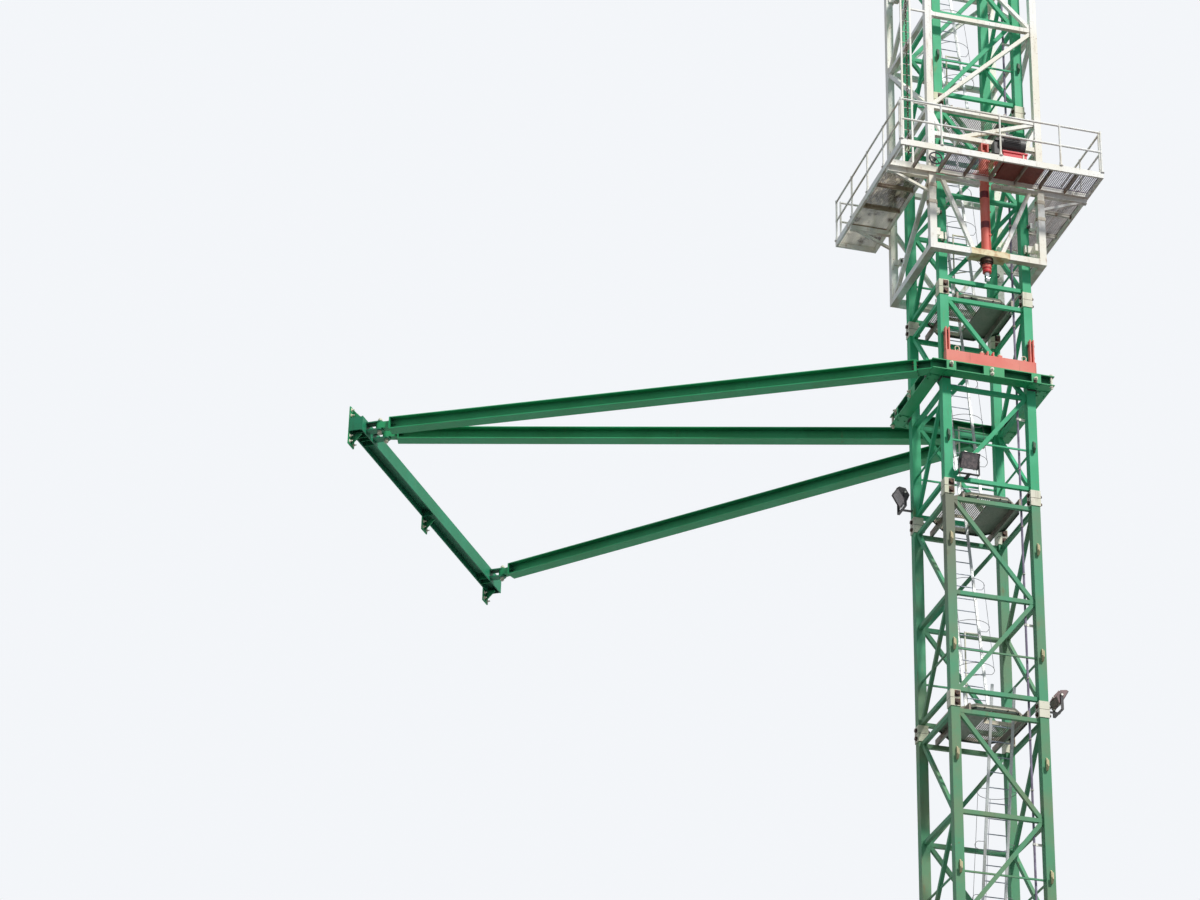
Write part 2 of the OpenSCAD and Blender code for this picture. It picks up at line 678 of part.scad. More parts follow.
// Bars of one cage side, on a side that faces -Y, with its diagonals rising to the left or right
module cage_bars(rise) {
    z_bottom = cage_bottom + cage_beam_h / 2;
    z_top = cage_top - ring_w / 2;
    edge = cage_half;
    bar([-edge, z_bottom], [edge, z_bottom], cage_beam_h, post_w);
    for (z = [ring_low, ring_high, ring_mid, z_top]) bar([-edge, z], [edge, z], ring_w, ring_w);
    bar([-rise * edge, ring_high], [rise * edge, ring_mid], cage_brace_w, cage_brace_w);
    bar([rise * edge, ring_mid], [-rise * edge, z_top], cage_brace_w, cage_brace_w);
}

// Beam under the deck from one side of the cage outwards, with its knee brace down to the post
module deck_beam(inner, outer, side) {
    z = deck_z - ring_w / 2;
    bar([side * inner, z], [side * outer, z], ring_w, ring_w - 2);
    bar([side * (outer - knee_w), z], [side * cage_half, deck_z - knee_drop], knee_w, knee_w);
}

// Bars of the front of the cage below its deck, meeting at the ram's saddle
module saddle_braces() {
    z_head = deck_z - ring_w / 2;
    z_bottom = cage_bottom + cage_beam_h - 20;
    for (side = [-1, 1]) {
        bar([side * saddle_head_x, z_head], [side * saddle_brace_x, z_bottom], cage_brace_w, cage_brace_w);
        bar([side * cage_half, ring_high - ring_w], [side * ring_brace_x, ring_low], cage_brace_w, cage_brace_w);
    }
    bar([long_brace_x, ring_low], [cage_half, ring_high], cage_brace_w, cage_brace_w - 8);
}

// Half of the gap in the beam under the deck that the ram passes through
deck_beam_gap = barrel_d / 2 + 45;

module cage_posts() for (side = [-1, 1])
    translate([side * cage_half - post_w / 2, -post_w / 2, cage_bottom])
        cube([post_w, post_w, cage_top - cage_bottom]);

module cage_front() about_axis() color(cage_white) difference() {
    union() {
        translate([0, -cage_half, 0]) {
            cage_posts();
            cage_bars(1);
            saddle_braces();
            deck_beam(deck_beam_gap, deck_reach_left - band_t / 2, -1);
            deck_beam(deck_beam_gap, deck_reach_right - band_t / 2, 1);
        }
        block([-saddle_half, -cage_face - 20, cage_bottom], [saddle_half, -ram_y + 120, cage_bottom + cage_beam_h]);
    }
    translate([0, -ram_y, cage_bottom - 1])
        cylinder(h = cage_beam_h + 2, d = barrel_d + 2 * seat, $fn = round_sides);
}

module cage_back() about_axis() color(cage_white) rotate([0, 0, 180]) translate([0, -cage_half, 0]) {
    cage_posts();
    cage_bars(1);
    deck_beam(cage_half, deck_reach_right - band_t / 2, -1);
    deck_beam(cage_half, deck_reach_left - band_t / 2, 1);
    for (side = [-1, 1])
        bar([side * cage_half, deck_z + 40], [0, cage_bottom + cage_beam_h - 20], cage_brace_w, cage_brace_w);
}

// Left and right bars between the posts of the front and the back
module cage_sides() about_axis() color(cage_white) for (turn = [-90, 90])
    rotate([0, 0, turn]) translate([0, -cage_half, 0]) intersection() {
        union() {
            cage_bars(-1);
            bar([cage_half, deck_z + 40], [-cage_half, cage_bottom + cage_beam_h], cage_brace_w, cage_brace_w);
        }
        block([-cage_gap / 2, -post_w, cage_bottom], [cage_gap / 2, post_w, cage_top]);
    }

// Pawls on the front posts that rest on the pair of lugs inside the cage
module cage_pawls() about_axis() color(cage_white) for (side = [-1, 1]) {
    translate([side * half_pitch, -pin_line, pawl_level]) fork_cheeks(-70, 110, 45);
    mirror([side < 0 ? 1 : 0, 0, 0])
        block([half_pitch + lug_t / 2 + clear + cheek_t - 1, -pin_line - 45, pawl_level - 70],
              [cage_half - post_w / 2, -pin_line - 20, pawl_level + 110]);
    mirror([side < 0 ? 1 : 0, 0, 0])
        block([cage_half - post_w / 2 - 90, -cage_half - 40, pawl_level - 70],
              [cage_half - post_w / 2, -pin_line - 21, pawl_level + 110]);
}

roller_axis = half_pitch + coupling_w / 2 + clear + roller_d / 2;
roller_place = half_pitch + roller_shift;
roller_levels = [cage_bottom + roller_low_rise, cage_top - roller_high_drop];

// Repeats for the two rollers at each corner of the cage and at each level
module at_rollers() for (turn = [0 : 90 : 270], flip = [0, 1], z = roller_levels)
    rotate([0, 0, turn]) mirror([flip, 0, 0]) translate([roller_place, -roller_axis, z]) children();

// Plate on the post's inner side with the axle of a guide roller
module roller_brackets() about_axis() color(cage_white) at_rollers() {
    inner = cage_half - post_w / 2 - roller_place;
    block([roller_w / 2 + 6, -roller_d / 2 - 13, -70], [inner, roller_d / 2 - 10, 70]);
    translate([-roller_w / 2 - 8, 0, 0]) rotate([0, 90, 0]) cylinder(h = roller_w + 20, d = axle_d, $fn = round_sides);
    block([inner - 40, -cage_half + roller_axis - 20, -70], [inner, -roller_d / 2 - 12, 70]);
}

module guide_rollers() about_axis() color([0.25, 0.25, 0.26]) at_rollers()
    translate([-roller_w / 2, 0, 0]) rotate([0, 90, 0]) difference() {
        cylinder(h = roller_w, d = roller_d, $fn = round_sides);
        translate([0, 0, -1]) cylinder(h = roller_w + 2, d = axle_d + 2 * seat, $fn = round_sides);
    }

// Edge band and joists of one rectangle of deck
module deck_frame(low, high, count) translate([0, 0, deck_z]) {
    difference() {
        block([low[0], low[1], 0], [high[0], high[1], deck_h]);
        block([low[0] + band_t, low[1] + band_t, -1], [high[0] - band_t, high[1] - band_t, deck_h + 1]);
    }
    along_x = high[0] - low[0] > high[1] - low[1];
    for (i = [1 : count - 1]) {
        part = i / count;
        if (along_x)
            block([low[0] + part * (high[0] - low[0]) - 20, low[1] + 1, 0],
                  [low[0] + part * (high[0] - low[0]) + 20, high[1] - 1, deck_h - floor_t - 20]);
        else
            block([low[0] + 1, low[1] + part * (high[1] - low[1]) - 20, 0],
                  [high[0] - 1, low[1] + part * (high[1] - low[1]) + 20, deck_h - floor_t - 20]);
    }
}

front_low = [-deck_reach_left, -deck_front_y];
front_high = [deck_reach_right, -cage_face];
left_low = [-deck_reach_left, -cage_face];
left_high = [-cage_face, deck_back_y];
right_low = [cage_face, -cage_face];
right_high = [deck_reach_right, deck_back_y];
front_bays = ceil((deck_reach_left + deck_reach_right) / joist_pitch);
side_bays = ceil((deck_back_y + cage_face) / side_joist_pitch);

module deck_front() about_axis() color(cage_white) deck_frame(front_low, front_high, front_bays);
module deck_left() about_axis() color(cage_white) deck_frame(left_low, left_high, side_bays);
module deck_right() about_axis() color(cage_white) deck_frame(right_low, right_high, side_bays);

// Floor plates that lie on the joists inside the edge bands, with two bays open beside the upright ladder
module deck_floors() about_axis() color([0.48, 0.46, 0.44]) {
    open_to = 2 * (deck_reach_left + deck_reach_right) / front_bays - 20 - band_t;
    for (r = [[[front_low[0] + open_to, front_low[1]], front_high], [left_low, left_high], [right_low, right_high]])
        block([r[0][0] + band_t, r[0][1] + band_t, deck_top - 20 - floor_t],
              [r[1][0] - band_t, r[1][1] - band_t, deck_top - 20]);
}

// Guard rail along +X from the origin, with posts at the given places
module rail(length, posts) {
    for (x = posts)
        translate([x, 0, 0]) cylinder(h = rail_h, d = rail_d, $fn = pipe_sides);
    for (z = [rail_h - rail_d / 2, rail_h / 2])
        translate([0, 0, z]) rotate([0, 90, 0]) cylinder(h = length, d = rail_d, $fn = pipe_sides);
}

module deck_railings() about_axis() color(cage_white) translate([0, 0, deck_top]) {
    inset = band_t / 2;
    left_x = deck_reach_left - inset;
    front_len = deck_reach_left + deck_reach_right - 2 * inset;
    side_len = deck_back_y + deck_front_y - 2 * inset - 100;
    translate([-left_x, -deck_front_y + inset, 0])
        rail(front_len, [0, left_x + rail_post_left, left_x + rail_post_middle, left_x + rail_post_right, front_len]);
    for (reach = [-deck_reach_left + inset, deck_reach_right - inset]) translate([reach, -deck_front_y + inset + 100, 0])
        rotate([0, 0, 90]) rail(side_len, [0, side_len * 0.25, side_len * 0.5, side_len * 0.75, side_len]);
    for (end = [[-1, deck_reach_left], [1, deck_reach_right]]) mirror([end[0] < 0 ? 1 : 0, 0, 0])
        translate([cage_face + inset, deck_back_y - inset, 0])
            rail(end[1] - cage_face - 2 * inset - 100, [0, end[1] - cage_face - 2 * inset - 100]);
}

// Upright ladder frame beside the cage with a tie to the front left post at each ring
module cage_ladder() about_axis() color(cage_white)
    translate([-cage_half - ladder_out, -cage_half - 60, 0]) {
        half = cage_ladder_w / 2;
        for (x = [-half, half])
            translate([x - 20, -20, deck_top]) cube([40, 40, cage_top - deck_top]);
        for (z = [deck_top + rung_step : rung_step : cage_top - 60])
            translate([-half, 0, z]) rotate([0, 90, 0]) cylinder(h = cage_ladder_w, d = 20, $fn = 6);
        for (z = [ring_high, ring_mid, cage_top - ring_w / 2])
            translate([half, -20, z - 20]) cube([ladder_out - post_w / 2 - half, 40, 40]);
    }

hanger_pin_z = barrel_top + 110;

// Ears under the low ring with the pin that carries the ram
module ram_hanger() about_axis() color(yoke_red) translate([0, -ram_y, hanger_pin_z]) {
    for (side = [-1, 1])
        block([side * 75 - 15, -cage_half + ram_y - 50, -60], [side * 75 + 15, 70, ring_low - ring_w / 2 - hanger_pin_z]);
    block([-90, -cage_half + ram_y - 50, ring_low - ring_w / 2 - hanger_pin_z - 30],
          [90, 70, ring_low - ring_w / 2 - hanger_pin_z]);
    translate([-100, 0, 0]) rotate([0, 90, 0]) cylinder(h = 200, d = ram_pin_d, $fn = round_sides);
}

// Barrel with its gland below and an eye above, hollow for the rod
module ram_barrel() about_axis() color(yoke_red) translate([0, -ram_y, 0]) difference() {
    union() {
        translate([0, 0, barrel_bottom + 120]) cylinder(h = barrel_top - barrel_bottom - 120, d = barrel_d, $fn = round_sides);
        translate([0, 0, barrel_bottom]) cylinder(h = 121, d = barrel_d - 30, $fn = round_sides);
        translate([0, 0, barrel_top - 1]) block([-58, -60, 0], [58, 60, 111]);
        translate([-58, 0, hanger_pin_z]) rotate([0, 90, 0]) cylinder(h = 116, d = 120, $fn = round_sides);
    }
    translate([0, 0, barrel_bottom - 1])
        cylinder(h = barrel_top - barrel_bottom - 150, d = rod_d + 2 * running, $fn = round_sides);
    translate([-70, 0, hanger_pin_z]) rotate([0, 90, 0]) cylinder(h = 140, d = ram_pin_d + 2 * seat, $fn = round_sides);
}

// Rod with an eye that fits between the ears of the yoke
module ram_rod() about_axis() color([0.62, 0.62, 0.63]) translate([0, -ram_y, 0]) difference() {
    union() {
        translate([0, 0, rod_eye_z]) cylinder(h = ram_stroke + 500, d = rod_d, $fn = round_sides);
        translate([-eye_t / 2, 0, rod_eye_z]) rotate([0, 90, 0]) cylinder(h = eye_t, d = eye_d, $fn = round_sides);
    }
    translate([-rod_d, 0, rod_eye_z]) rotate([0, 90, 0]) cylinder(h = 2 * rod_d, d = ram_pin_d, $fn = round_sides);
    for (side = [-1, 1])
        translate([side * (eye_t + rod_d) / 2 - rod_d / 2, -eye_d, rod_eye_z - eye_d / 2 - 5])
            cube([rod_d, 2 * eye_d, eye_d + 5]);
}

// Hydraulic tank with a motor on top, standing on the front deck
module power_pack() about_axis() color([0.80, 0.12, 0.12])
    translate([pack_x, pack_inset - deck_front_y, deck_top - 20]) {
        cube([pack_l, pack_d, pack_h]);
        translate([(pack_l - motor_l) / 2, pack_d / 2, pack_h + motor_foot_h + motor_d / 2 - 20]) rotate([0, 90, 0])
            cylinder(h = motor_l, d = motor_d, $fn = round_sides);
        translate([pack_l / 2, pack_d / 2, pack_h])
            block([-motor_l * 0.4, -motor_d * 0.3, -5], [motor_l * 0.4, motor_d * 0.3, motor_foot_h + motor_d * 0.2]);
    }

mast_front(0);  // mast_front_1
mast_front(1);  // mast_front_2
mast_front(2);  // mast_front_3
mast_front(3);  // mast_front_4
mast_front(4);  // mast_front_5
mast_back(0);  // mast_back_1
mast_back(1);  // mast_back_2
mast_back(2);  // mast_back_3
mast_back(3);  // mast_back_4
mast_back(4);  // mast_back_5
mast_bracing(-90);  // mast_left_bracing
mast_bracing(90);  // mast_right_bracing
leg_couplings();
climbing_lugs();
ladders();
rest_platforms();
power_cable();
cable_clips();
floodlight_brackets();
floodlight(0);  // floodlight_front
floodlight(1);  // floodlight_left
floodlight(2);  // floodlight_right
collar_front();
collar_left();
collar_back();
collar_right();
collar_pads();
strut_far();
strut_middle();
strut_near();
strut_pins();
wall_beam();
wall_anchors();
climbing_yoke();
cage_front();
cage_back();
cage_sides();
cage_pawls();
roller_brackets();
guide_rollers();
deck_front();
deck_left();
deck_right();
deck_floors();
deck_railings();
cage_ladder();
ram_hanger();
ram_barrel();
ram_rod();
power_pack();
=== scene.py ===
import json
import math

import bpy
from mathutils import Matrix, Vector


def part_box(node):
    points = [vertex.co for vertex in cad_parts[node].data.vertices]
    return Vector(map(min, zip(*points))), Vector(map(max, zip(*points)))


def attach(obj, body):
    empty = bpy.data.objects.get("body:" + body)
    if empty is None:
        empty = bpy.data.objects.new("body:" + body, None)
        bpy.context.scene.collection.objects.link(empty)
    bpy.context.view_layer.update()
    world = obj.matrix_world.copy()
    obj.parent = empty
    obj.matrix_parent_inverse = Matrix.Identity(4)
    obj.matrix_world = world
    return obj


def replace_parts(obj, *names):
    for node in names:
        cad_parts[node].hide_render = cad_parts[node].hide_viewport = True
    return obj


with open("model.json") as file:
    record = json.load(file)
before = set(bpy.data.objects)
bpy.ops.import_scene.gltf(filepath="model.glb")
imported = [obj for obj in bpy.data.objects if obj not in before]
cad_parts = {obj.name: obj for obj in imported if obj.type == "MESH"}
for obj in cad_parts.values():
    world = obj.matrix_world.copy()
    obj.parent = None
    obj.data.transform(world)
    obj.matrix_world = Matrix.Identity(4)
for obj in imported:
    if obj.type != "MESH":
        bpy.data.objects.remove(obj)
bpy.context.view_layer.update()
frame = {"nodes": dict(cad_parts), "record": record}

RECORD = frame["record"]

# Sizes that the frame gives
couplings_low, couplings_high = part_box("leg_couplings")
AXIS = (couplings_low + couplings_high) / 2
AXIS.z = 0
SECTIONS = 5
SECTION_H = couplings_high.z / SECTIONS
COUPLING_W = 0.23
LEG_W = 0.20
HALF_PITCH = (couplings_high.x - couplings_low.x - COUPLING_W) / 2
LEGS = [(-1, -1), (1, -1), (-1, 1), (1, 1)]


def about_axis(node):
    """A node's lowest and highest corners about the mast's own axis."""
    low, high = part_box(node)
    return low - AXIS, high - AXIS


COLLAR_LOW, COLLAR_HIGH = about_axis("collar_front")
COLLAR_Z = (COLLAR_LOW.z + COLLAR_HIGH.z) / 2
COLLAR_H = 0.24
COLLAR_OUT = 1.42
COLLAR_MID = 1.27
DECKS = {node: about_axis(node) for node in ("deck_front", "deck_left", "deck_right")}
DECK_TOP = DECKS["deck_front"][1].z
BAND = 0.05
RAM_Y = -1.21


def linear(colour):
    """A colour written in 0 to 255 steps, as Blender's linear colour."""
    parts = [value / 255 for value in colour]
    return (*[part / 12.92 if part <= 0.04045 else ((part + 0.055) / 1.055) ** 2.4 for part in parts], 1.0)


# Materials

LOOKS = {}


class Nodes:
    """The node tree of a material or of the world, whose nodes are added one after another."""

    def __init__(self, owner):
        owner.use_nodes = True
        self.tree = owner.node_tree

    def node(self, kind, feeds=None, **settings):
        """Adds a node with its settings, and feeds its inputs."""
        made = self.tree.nodes.new(kind)
        for key, value in settings.items():
            setattr(made, key, value)
        for socket, value in (feeds or {}).items():
            self.feed(made.inputs[socket], value)
        return made

    def feed(self, socket, value):
        """Sets a socket to a number or a colour, or links it to a result."""
        if isinstance(value, (int, float, tuple)):
            socket.default_value = value
        else:
            self.tree.links.new(value, socket)

    def math(self, operation, a, b=0.0, c=0.0, clamp=True):
        made = self.node("ShaderNodeMath", operation=operation, use_clamp=clamp)
        for socket, value in zip(made.inputs, (a, b, c)):
            self.feed(socket, value)
        return made.outputs["Value"]

    def times(self, a, b):
        return self.math("MULTIPLY", a, b)

    def seen_rays(self):
        """1 for rays that show the background itself, in the view, in a reflection or through glass."""
        path = self.node("ShaderNodeLightPath").outputs
        direct = self.math("MAXIMUM", path["Is Camera Ray"], path["Is Glossy Ray"], clamp=False)
        return self.math("MAXIMUM", direct, path["Is Transmission Ray"], clamp=False)


class Surface(Nodes):
    """A material that knows the mast's axis. It is kept in LOOKS by its name."""

    def __init__(self, name, metallic=0.0, roughness=0.5):
        LOOKS[name] = bpy.data.materials.new(name)
        super().__init__(LOOKS[name])
        self.shader = self.tree.nodes["Principled BSDF"]
        self.shader.inputs["Metallic"].default_value = metallic
        self.shader.inputs["Roughness"].default_value = roughness
        self.place = self.node("ShaderNodeTexCoord").outputs["Object"]

    def noise(self, scale, detail=4.0, stretch=(1, 1, 1), distortion=0.0):
        """Noise from 0 to 1, about `scale` patches a metre, drawn out along an axis by a small stretch."""
        mapping = self.node("ShaderNodeMapping", {"Scale": stretch, "Vector": self.place})
        made = self.node("ShaderNodeTexNoise", {"Scale": scale, "Detail": detail, "Distortion": distortion})
        self.feed(made.inputs["Vector"], mapping.outputs["Vector"])
        return made.outputs["Fac"]

    def band(self, value, low, high):
        """0 where value is below low, 1 where it is above high."""
        feeds = {"From Min": low, "From Max": high, "Value": value}
        return self.node("ShaderNodeMapRange", feeds, interpolation_type="SMOOTHSTEP").outputs["Result"]

    def mix(self, factor, a, b):
        """A blend of two results or colours. Colours are written in 0 to 255 steps."""
        made = self.node("ShaderNodeMix", data_type="RGBA")
        for socket, value in (("Factor", factor), ("A", a), ("B", b)):
            sockets = [s for s in made.inputs if s.name == socket and s.enabled]
            self.feed(sockets[0], linear(value) if isinstance(value, tuple) else value)
        return [s for s in made.outputs if s.enabled][0]

    def along(self, axis):
        """Distance from the mast's axis along X or Y, or the height along Z."""
        parts = self.node("ShaderNodeSeparateXYZ", {"Vector": self.place})
        return self.math("SUBTRACT", parts.outputs[axis], AXIS["XYZ".index(axis)], clamp=False)

    def zone(self, coat, colour, **spans):
        """The coat with another colour where X, Y or Z lie inside the spans given."""
        inside = 1.0
        for axis, (start, end) in spans.items():
            beside = self.math("COMPARE", self.along(axis), (start + end) / 2, (end - start) / 2)
            inside = self.times(beside, inside)
        return self.mix(inside, coat, colour)

    def recess(self, distance):
        """1 on open faces, less where faces near by close them in."""
        made = self.node("ShaderNodeAmbientOcclusion", {"Distance": distance}, samples=6)
        return self.band(made.outputs["AO"], 0.35, 0.85)

    def facing_down(self):
        """1 on faces that look down."""
        parts = self.node("ShaderNodeSeparateXYZ")
        self.feed(parts.inputs["Vector"], self.node("ShaderNodeNewGeometry").outputs["Normal"])
        return self.band(self.times(parts.outputs["Z"], -1.0), 0.55, 0.9)

    def colour(self, value):
        self.feed(self.shader.inputs["Base Color"], value)

    def coat(self):
        """What the base colour is fed by so far."""
        return self.shader.inputs["Base Color"].links[0].from_socket

    def rough(self, value, low, high):
        spread = self.node("ShaderNodeMapRange", {"To Min": low, "To Max": high, "Value": value})
        self.feed(self.shader.inputs["Roughness"], spread.outputs["Result"])

    def bump(self, value, strength, distance):
        made = self.node("ShaderNodeBump", {"Strength": strength, "Distance": distance, "Height": value})
        self.feed(self.shader.inputs["Normal"], made.outputs["Normal"])


RUST = (122, 74, 44)
RUST_LIGHT = (176, 122, 78)


def painted(name, paint, faded, grime, rust=0.3, runs=0.4, gloss=0.42, steps=(), under=0.0, shade=None):
    """Weathered paint: faded patches, dark runs, rust that breaks through and a fine uneven coat.

    Each step is a height with the paint and the faded paint above it. `under` is rust on faces that
    look down, and partly a painted shade under things. `shade` is a painted shade: the darker colour
    that the paint takes in recesses, where faces near by keep the light off."""
    s = Surface(name, roughness=gloss)
    for height, paint_above, faded_above in steps:
        above = s.band(s.along("Z"), height - 0.01, height + 0.01)
        paint = s.mix(above, paint, paint_above)
        faded = s.mix(above, faded, faded_above)
    coat = s.mix(s.band(s.noise(0.9, 5.0), 0.38, 0.68), paint, faded)
    if shade:
        # Painted shade: the paint turns to the shade colour in recesses.
        coat = s.mix(s.recess(0.25), shade, coat)
    streak = s.noise(9.0, 6.0, stretch=(1.6, 1.6, 0.12), distortion=0.4)
    run = s.times(s.band(streak, 0.55, 0.74), s.band(s.noise(1.7, 3.0), 0.42, 0.66))
    coat = s.mix(s.times(run, runs), coat, grime)
    spots = s.band(s.noise(26.0, 8.0, distortion=0.6), 0.66 - 0.05 * rust, 0.74)
    bloom = s.band(s.noise(3.4, 6.0, stretch=(1.0, 1.0, 0.55)), 0.60, 0.76)
    broken = s.math("MAXIMUM", spots, s.times(bloom, s.band(streak, 0.40, 0.62)))
    # Rust on faces that look down, in patches; it is partly a painted shade under things.
    if under:
        underside_rust_and_shade = s.times(s.facing_down(), s.band(s.noise(2.0, 6.0), 0.38, 0.60))
        broken = s.math("MAXIMUM", broken, s.times(underside_rust_and_shade, under))
    rusty = s.mix(s.noise(40.0, 4.0), RUST, RUST_LIGHT)
    s.colour(s.mix(s.times(broken, rust), coat, rusty))
    fine = s.noise(120.0, 3.0)
    s.rough(s.math("MAXIMUM", broken, fine), gloss - 0.06, gloss + 0.36)
    s.bump(s.math("ADD", s.times(broken, 0.6), s.times(fine, 0.35)), 0.35, 0.0015)
    return s


def zinc(name, light, dark, stain, stain_share=0.5, roughness=0.42, metallic=0.55):
    """Galvanised steel: spangled grey with stains and a little rust."""
    s = Surface(name, metallic, roughness)
    spangle = s.node("ShaderNodeTexVoronoi", {"Scale": 55.0, "Vector": s.place}, feature="F1")
    parts = s.node("ShaderNodeSeparateColor", {"Color": spangle.outputs["Color"]})
    coat = s.mix(parts.outputs["Red"], light, dark)
    cloud = s.band(s.noise(2.2, 5.0), 0.45, 0.68)
    coat = s.mix(s.times(cloud, stain_share), coat, stain)
    spots = s.band(s.noise(30.0, 8.0, distortion=0.5), 0.66, 0.73)
    s.colour(s.mix(s.times(spots, 0.6), coat, RUST))
    s.rough(parts.outputs["Green"], roughness - 0.1, roughness + 0.22)
    s.bump(s.noise(90.0, 3.0), 0.25, 0.001)
    return s


def ladder_surface():
    """Bright stiles with thinner and bluer rungs between them."""
    s = zinc("ladder_zinc", (226, 228, 228), (206, 208, 210), (180, 172, 158), 0.35, 0.5, 0.15)
    from_axis = s.math("ABSOLUTE", s.along("X"), clamp=False)
    beside = s.math("ABSOLUTE", s.math("SUBTRACT", from_axis, LADDER_X, clamp=False))
    rung = s.math("LESS_THAN", beside, LADDER_HALF - 0.065)
    s.colour(s.mix(rung, s.coat(), (150, 156, 170)))


def platform_surface():
    """Stained plate, with a painted shade underneath: dark green-grey on faces that look down."""
    s = zinc("platform_steel", (150, 142, 132), (118, 112, 104), (104, 84, 66), 0.7, 0.5)
    # Painted shade: a dark green-grey on faces that look down.
    under = s.mix(s.noise(3.0, 5.0), (84, 104, 90), (120, 122, 108))
    s.colour(s.mix(s.facing_down(), s.coat(), under))


def deck_frame(node, joist):
    """White paint on a deck's edge band, and rusty joists inside it."""
    s = painted(node + "_paint", *CAGE_WHITE)
    low, high = DECKS[node]
    inner = BAND + 0.002
    spotted = s.mix(s.band(s.noise(7.0, 6.0), 0.46, 0.64), joist, (118, 92, 70))
    s.colour(s.zone(s.coat(), spotted, X=(low.x + inner, high.x - inner), Y=(low.y + inner, high.y - inner)))


def front_grating():
    """Grey grating with a violet tint that is painted sky light, rust-orange beside the ram and dark
    red-brown under the power pack.
    """
    # The violet in these greys is painted sky light.
    s = zinc("grating_front", (134, 126, 146), (110, 102, 122), (104, 88, 92), 0.5, 0.6, 0.1)
    oily = s.mix(s.noise(5.0, 5.0), (96, 44, 38), (132, 66, 54))
    orange = s.mix(s.noise(6.0, 5.0), (206, 108, 86), (150, 74, 58))
    s.colour(s.zone(s.zone(s.coat(), orange, X=(-0.35, 0.16)), oily, X=(0.16, 1.12)))


def left_grating():
    """Blotched brown grating, paler at its far end."""
    s = zinc("grating_left", (132, 122, 108), (98, 90, 78), (84, 60, 44), 0.9, 0.65, 0.2)
    blotch = s.band(s.noise(7.0, 7.0, stretch=(1.8, 0.6, 1.0), distortion=0.8), 0.50, 0.64)
    coat = s.mix(s.times(blotch, 0.8), s.coat(), (206, 194, 170))
    pale = s.times(s.band(s.along("Y"), 0.1, 1.0), s.band(s.noise(4.0, 6.0), 0.30, 0.50))
    s.colour(s.mix(s.times(pale, 0.85), coat, (230, 224, 210)))


def mast_surface():
    """The mast's green, with a front left leg that is grey with dirt high up in the second section."""
    paint, faded, grime = (76, 148, 106), (110, 140, 102), (66, 86, 70)
    steps = ((SECTION_H, (70, 154, 112), (104, 142, 106)), (2 * SECTION_H, (44, 172, 118), (70, 186, 136)))
    s = painted("mast_green", paint, faded, grime, 0.42, 0.4, 0.5, steps)
    dirty = s.mix(s.band(s.along("Z"), 1.1 * SECTION_H, 1.9 * SECTION_H), s.coat(), (116, 122, 102))
    leg = (-HALF_PITCH - LEG_W, LEG_W - HALF_PITCH)
    s.colour(s.zone(s.coat(), dirty, X=leg, Y=(leg[0], 0.11 - HALF_PITCH), Z=(SECTION_H, 2 * SECTION_H)))


def saddle_front():
    """The cage's white, with the bare brownish saddle in the middle of the bottom beam."""
    s = painted("cage_front_paint", *CAGE_WHITE)
    stained = s.mix(s.band(s.noise(6.0, 6.0), 0.40, 0.68), (238, 224, 182), (204, 168, 118))
    s.colour(s.zone(s.coat(), stained, X=(-0.42, 0.50), Z=(15.7, 15.99)))


def plain(name, first, second, scale, metallic=0.0, roughness=0.5, bump=0.2, depth=0.001):
    """Two close tones in soft patches, with a fine bump."""
    s = Surface(name, metallic, roughness)
    s.colour(s.mix(s.band(s.noise(scale, 6.0), 0.36, 0.66), first, second))
    s.rough(s.noise(scale * 9, 4.0), max(0.05, roughness - 0.12), roughness + 0.14)
    s.bump(s.noise(scale * 30, 4.0), bump, depth)


def glass_surface():
    """Dusty lamp glass over a dull reflector."""
    s = Surface("lamp_glass", roughness=0.16)
    dust = s.band(s.noise(14.0, 6.0), 0.38, 0.72)
    s.colour(s.mix(dust, (104, 94, 96), (156, 138, 136)))
    s.feed(s.shader.inputs["Coat Weight"], 0.6)
    s.feed(s.shader.inputs["Coat Roughness"], 0.08)
    s.rough(dust, 0.16, 0.5)
    s.bump(s.noise(60.0, 2.0), 0.15, 0.001)


LADDER_X = 0.30
LADDER_HALF = 0.28
# Paint, faded paint, grime, rust, runs, gloss, steps and rust with painted shade underneath
CAGE_WHITE = ((252, 251, 246), (244, 238, 220), (162, 132, 92), 0.85, 0.6, 0.42, (), 0.6)
# Black above the red tank of the power pack, and dark green lugs above the second section
PACK_STEPS = ((18.18, (34, 32, 34), (54, 50, 50)),)
LUG_STEPS = ((2 * SECTION_H, (44, 84, 62), (58, 96, 70)),)

mast_surface()
# The last colour given to each of the two greens below is its painted shade in recesses.
painted("tie_green", (26, 158, 94), (42, 174, 112), (18, 70, 46), 0.14, 0.3, 0.40, shade=(10, 84, 56))
# The wall beam's green is a darker copy of tie_green: a painted shade on the whole beam.
painted("wall_green_painted_shade", (12, 122, 82), (22, 136, 96), (10, 58, 42), 0.14, 0.3, 0.42, shade=(6, 66, 46))
# On the lugs, the rust underneath is a painted shade on their lower faces.
painted("lug_cream", (214, 200, 156), (190, 178, 138), (96, 84, 60), 0.5, 0.5, 0.42, LUG_STEPS, 0.9)
painted("cage_white", *CAGE_WHITE)
saddle_front()
deck_frame("deck_front", (140, 124, 112))
deck_frame("deck_left", (150, 134, 110))
deck_frame("deck_right", (216, 208, 198))
painted("coupling_paint", (232, 228, 208), (202, 206, 172), (120, 100, 72), 0.6, 0.6)
painted("yoke_red", (232, 112, 98), (238, 138, 122), (140, 62, 54), 0.25, 0.4, 0.46)
painted("pack_red", (222, 42, 56), (206, 50, 56), (96, 30, 26), 0.3, 0.5, 0.36, PACK_STEPS)
painted("pin_white", (244, 240, 220), (226, 218, 190), (140, 112, 76), 0.5, 0.4, 0.4)
painted("band_cream", (236, 226, 206), (218, 204, 182), (120, 92, 70), 0.6, 0.5, 0.5)
ladder_surface()
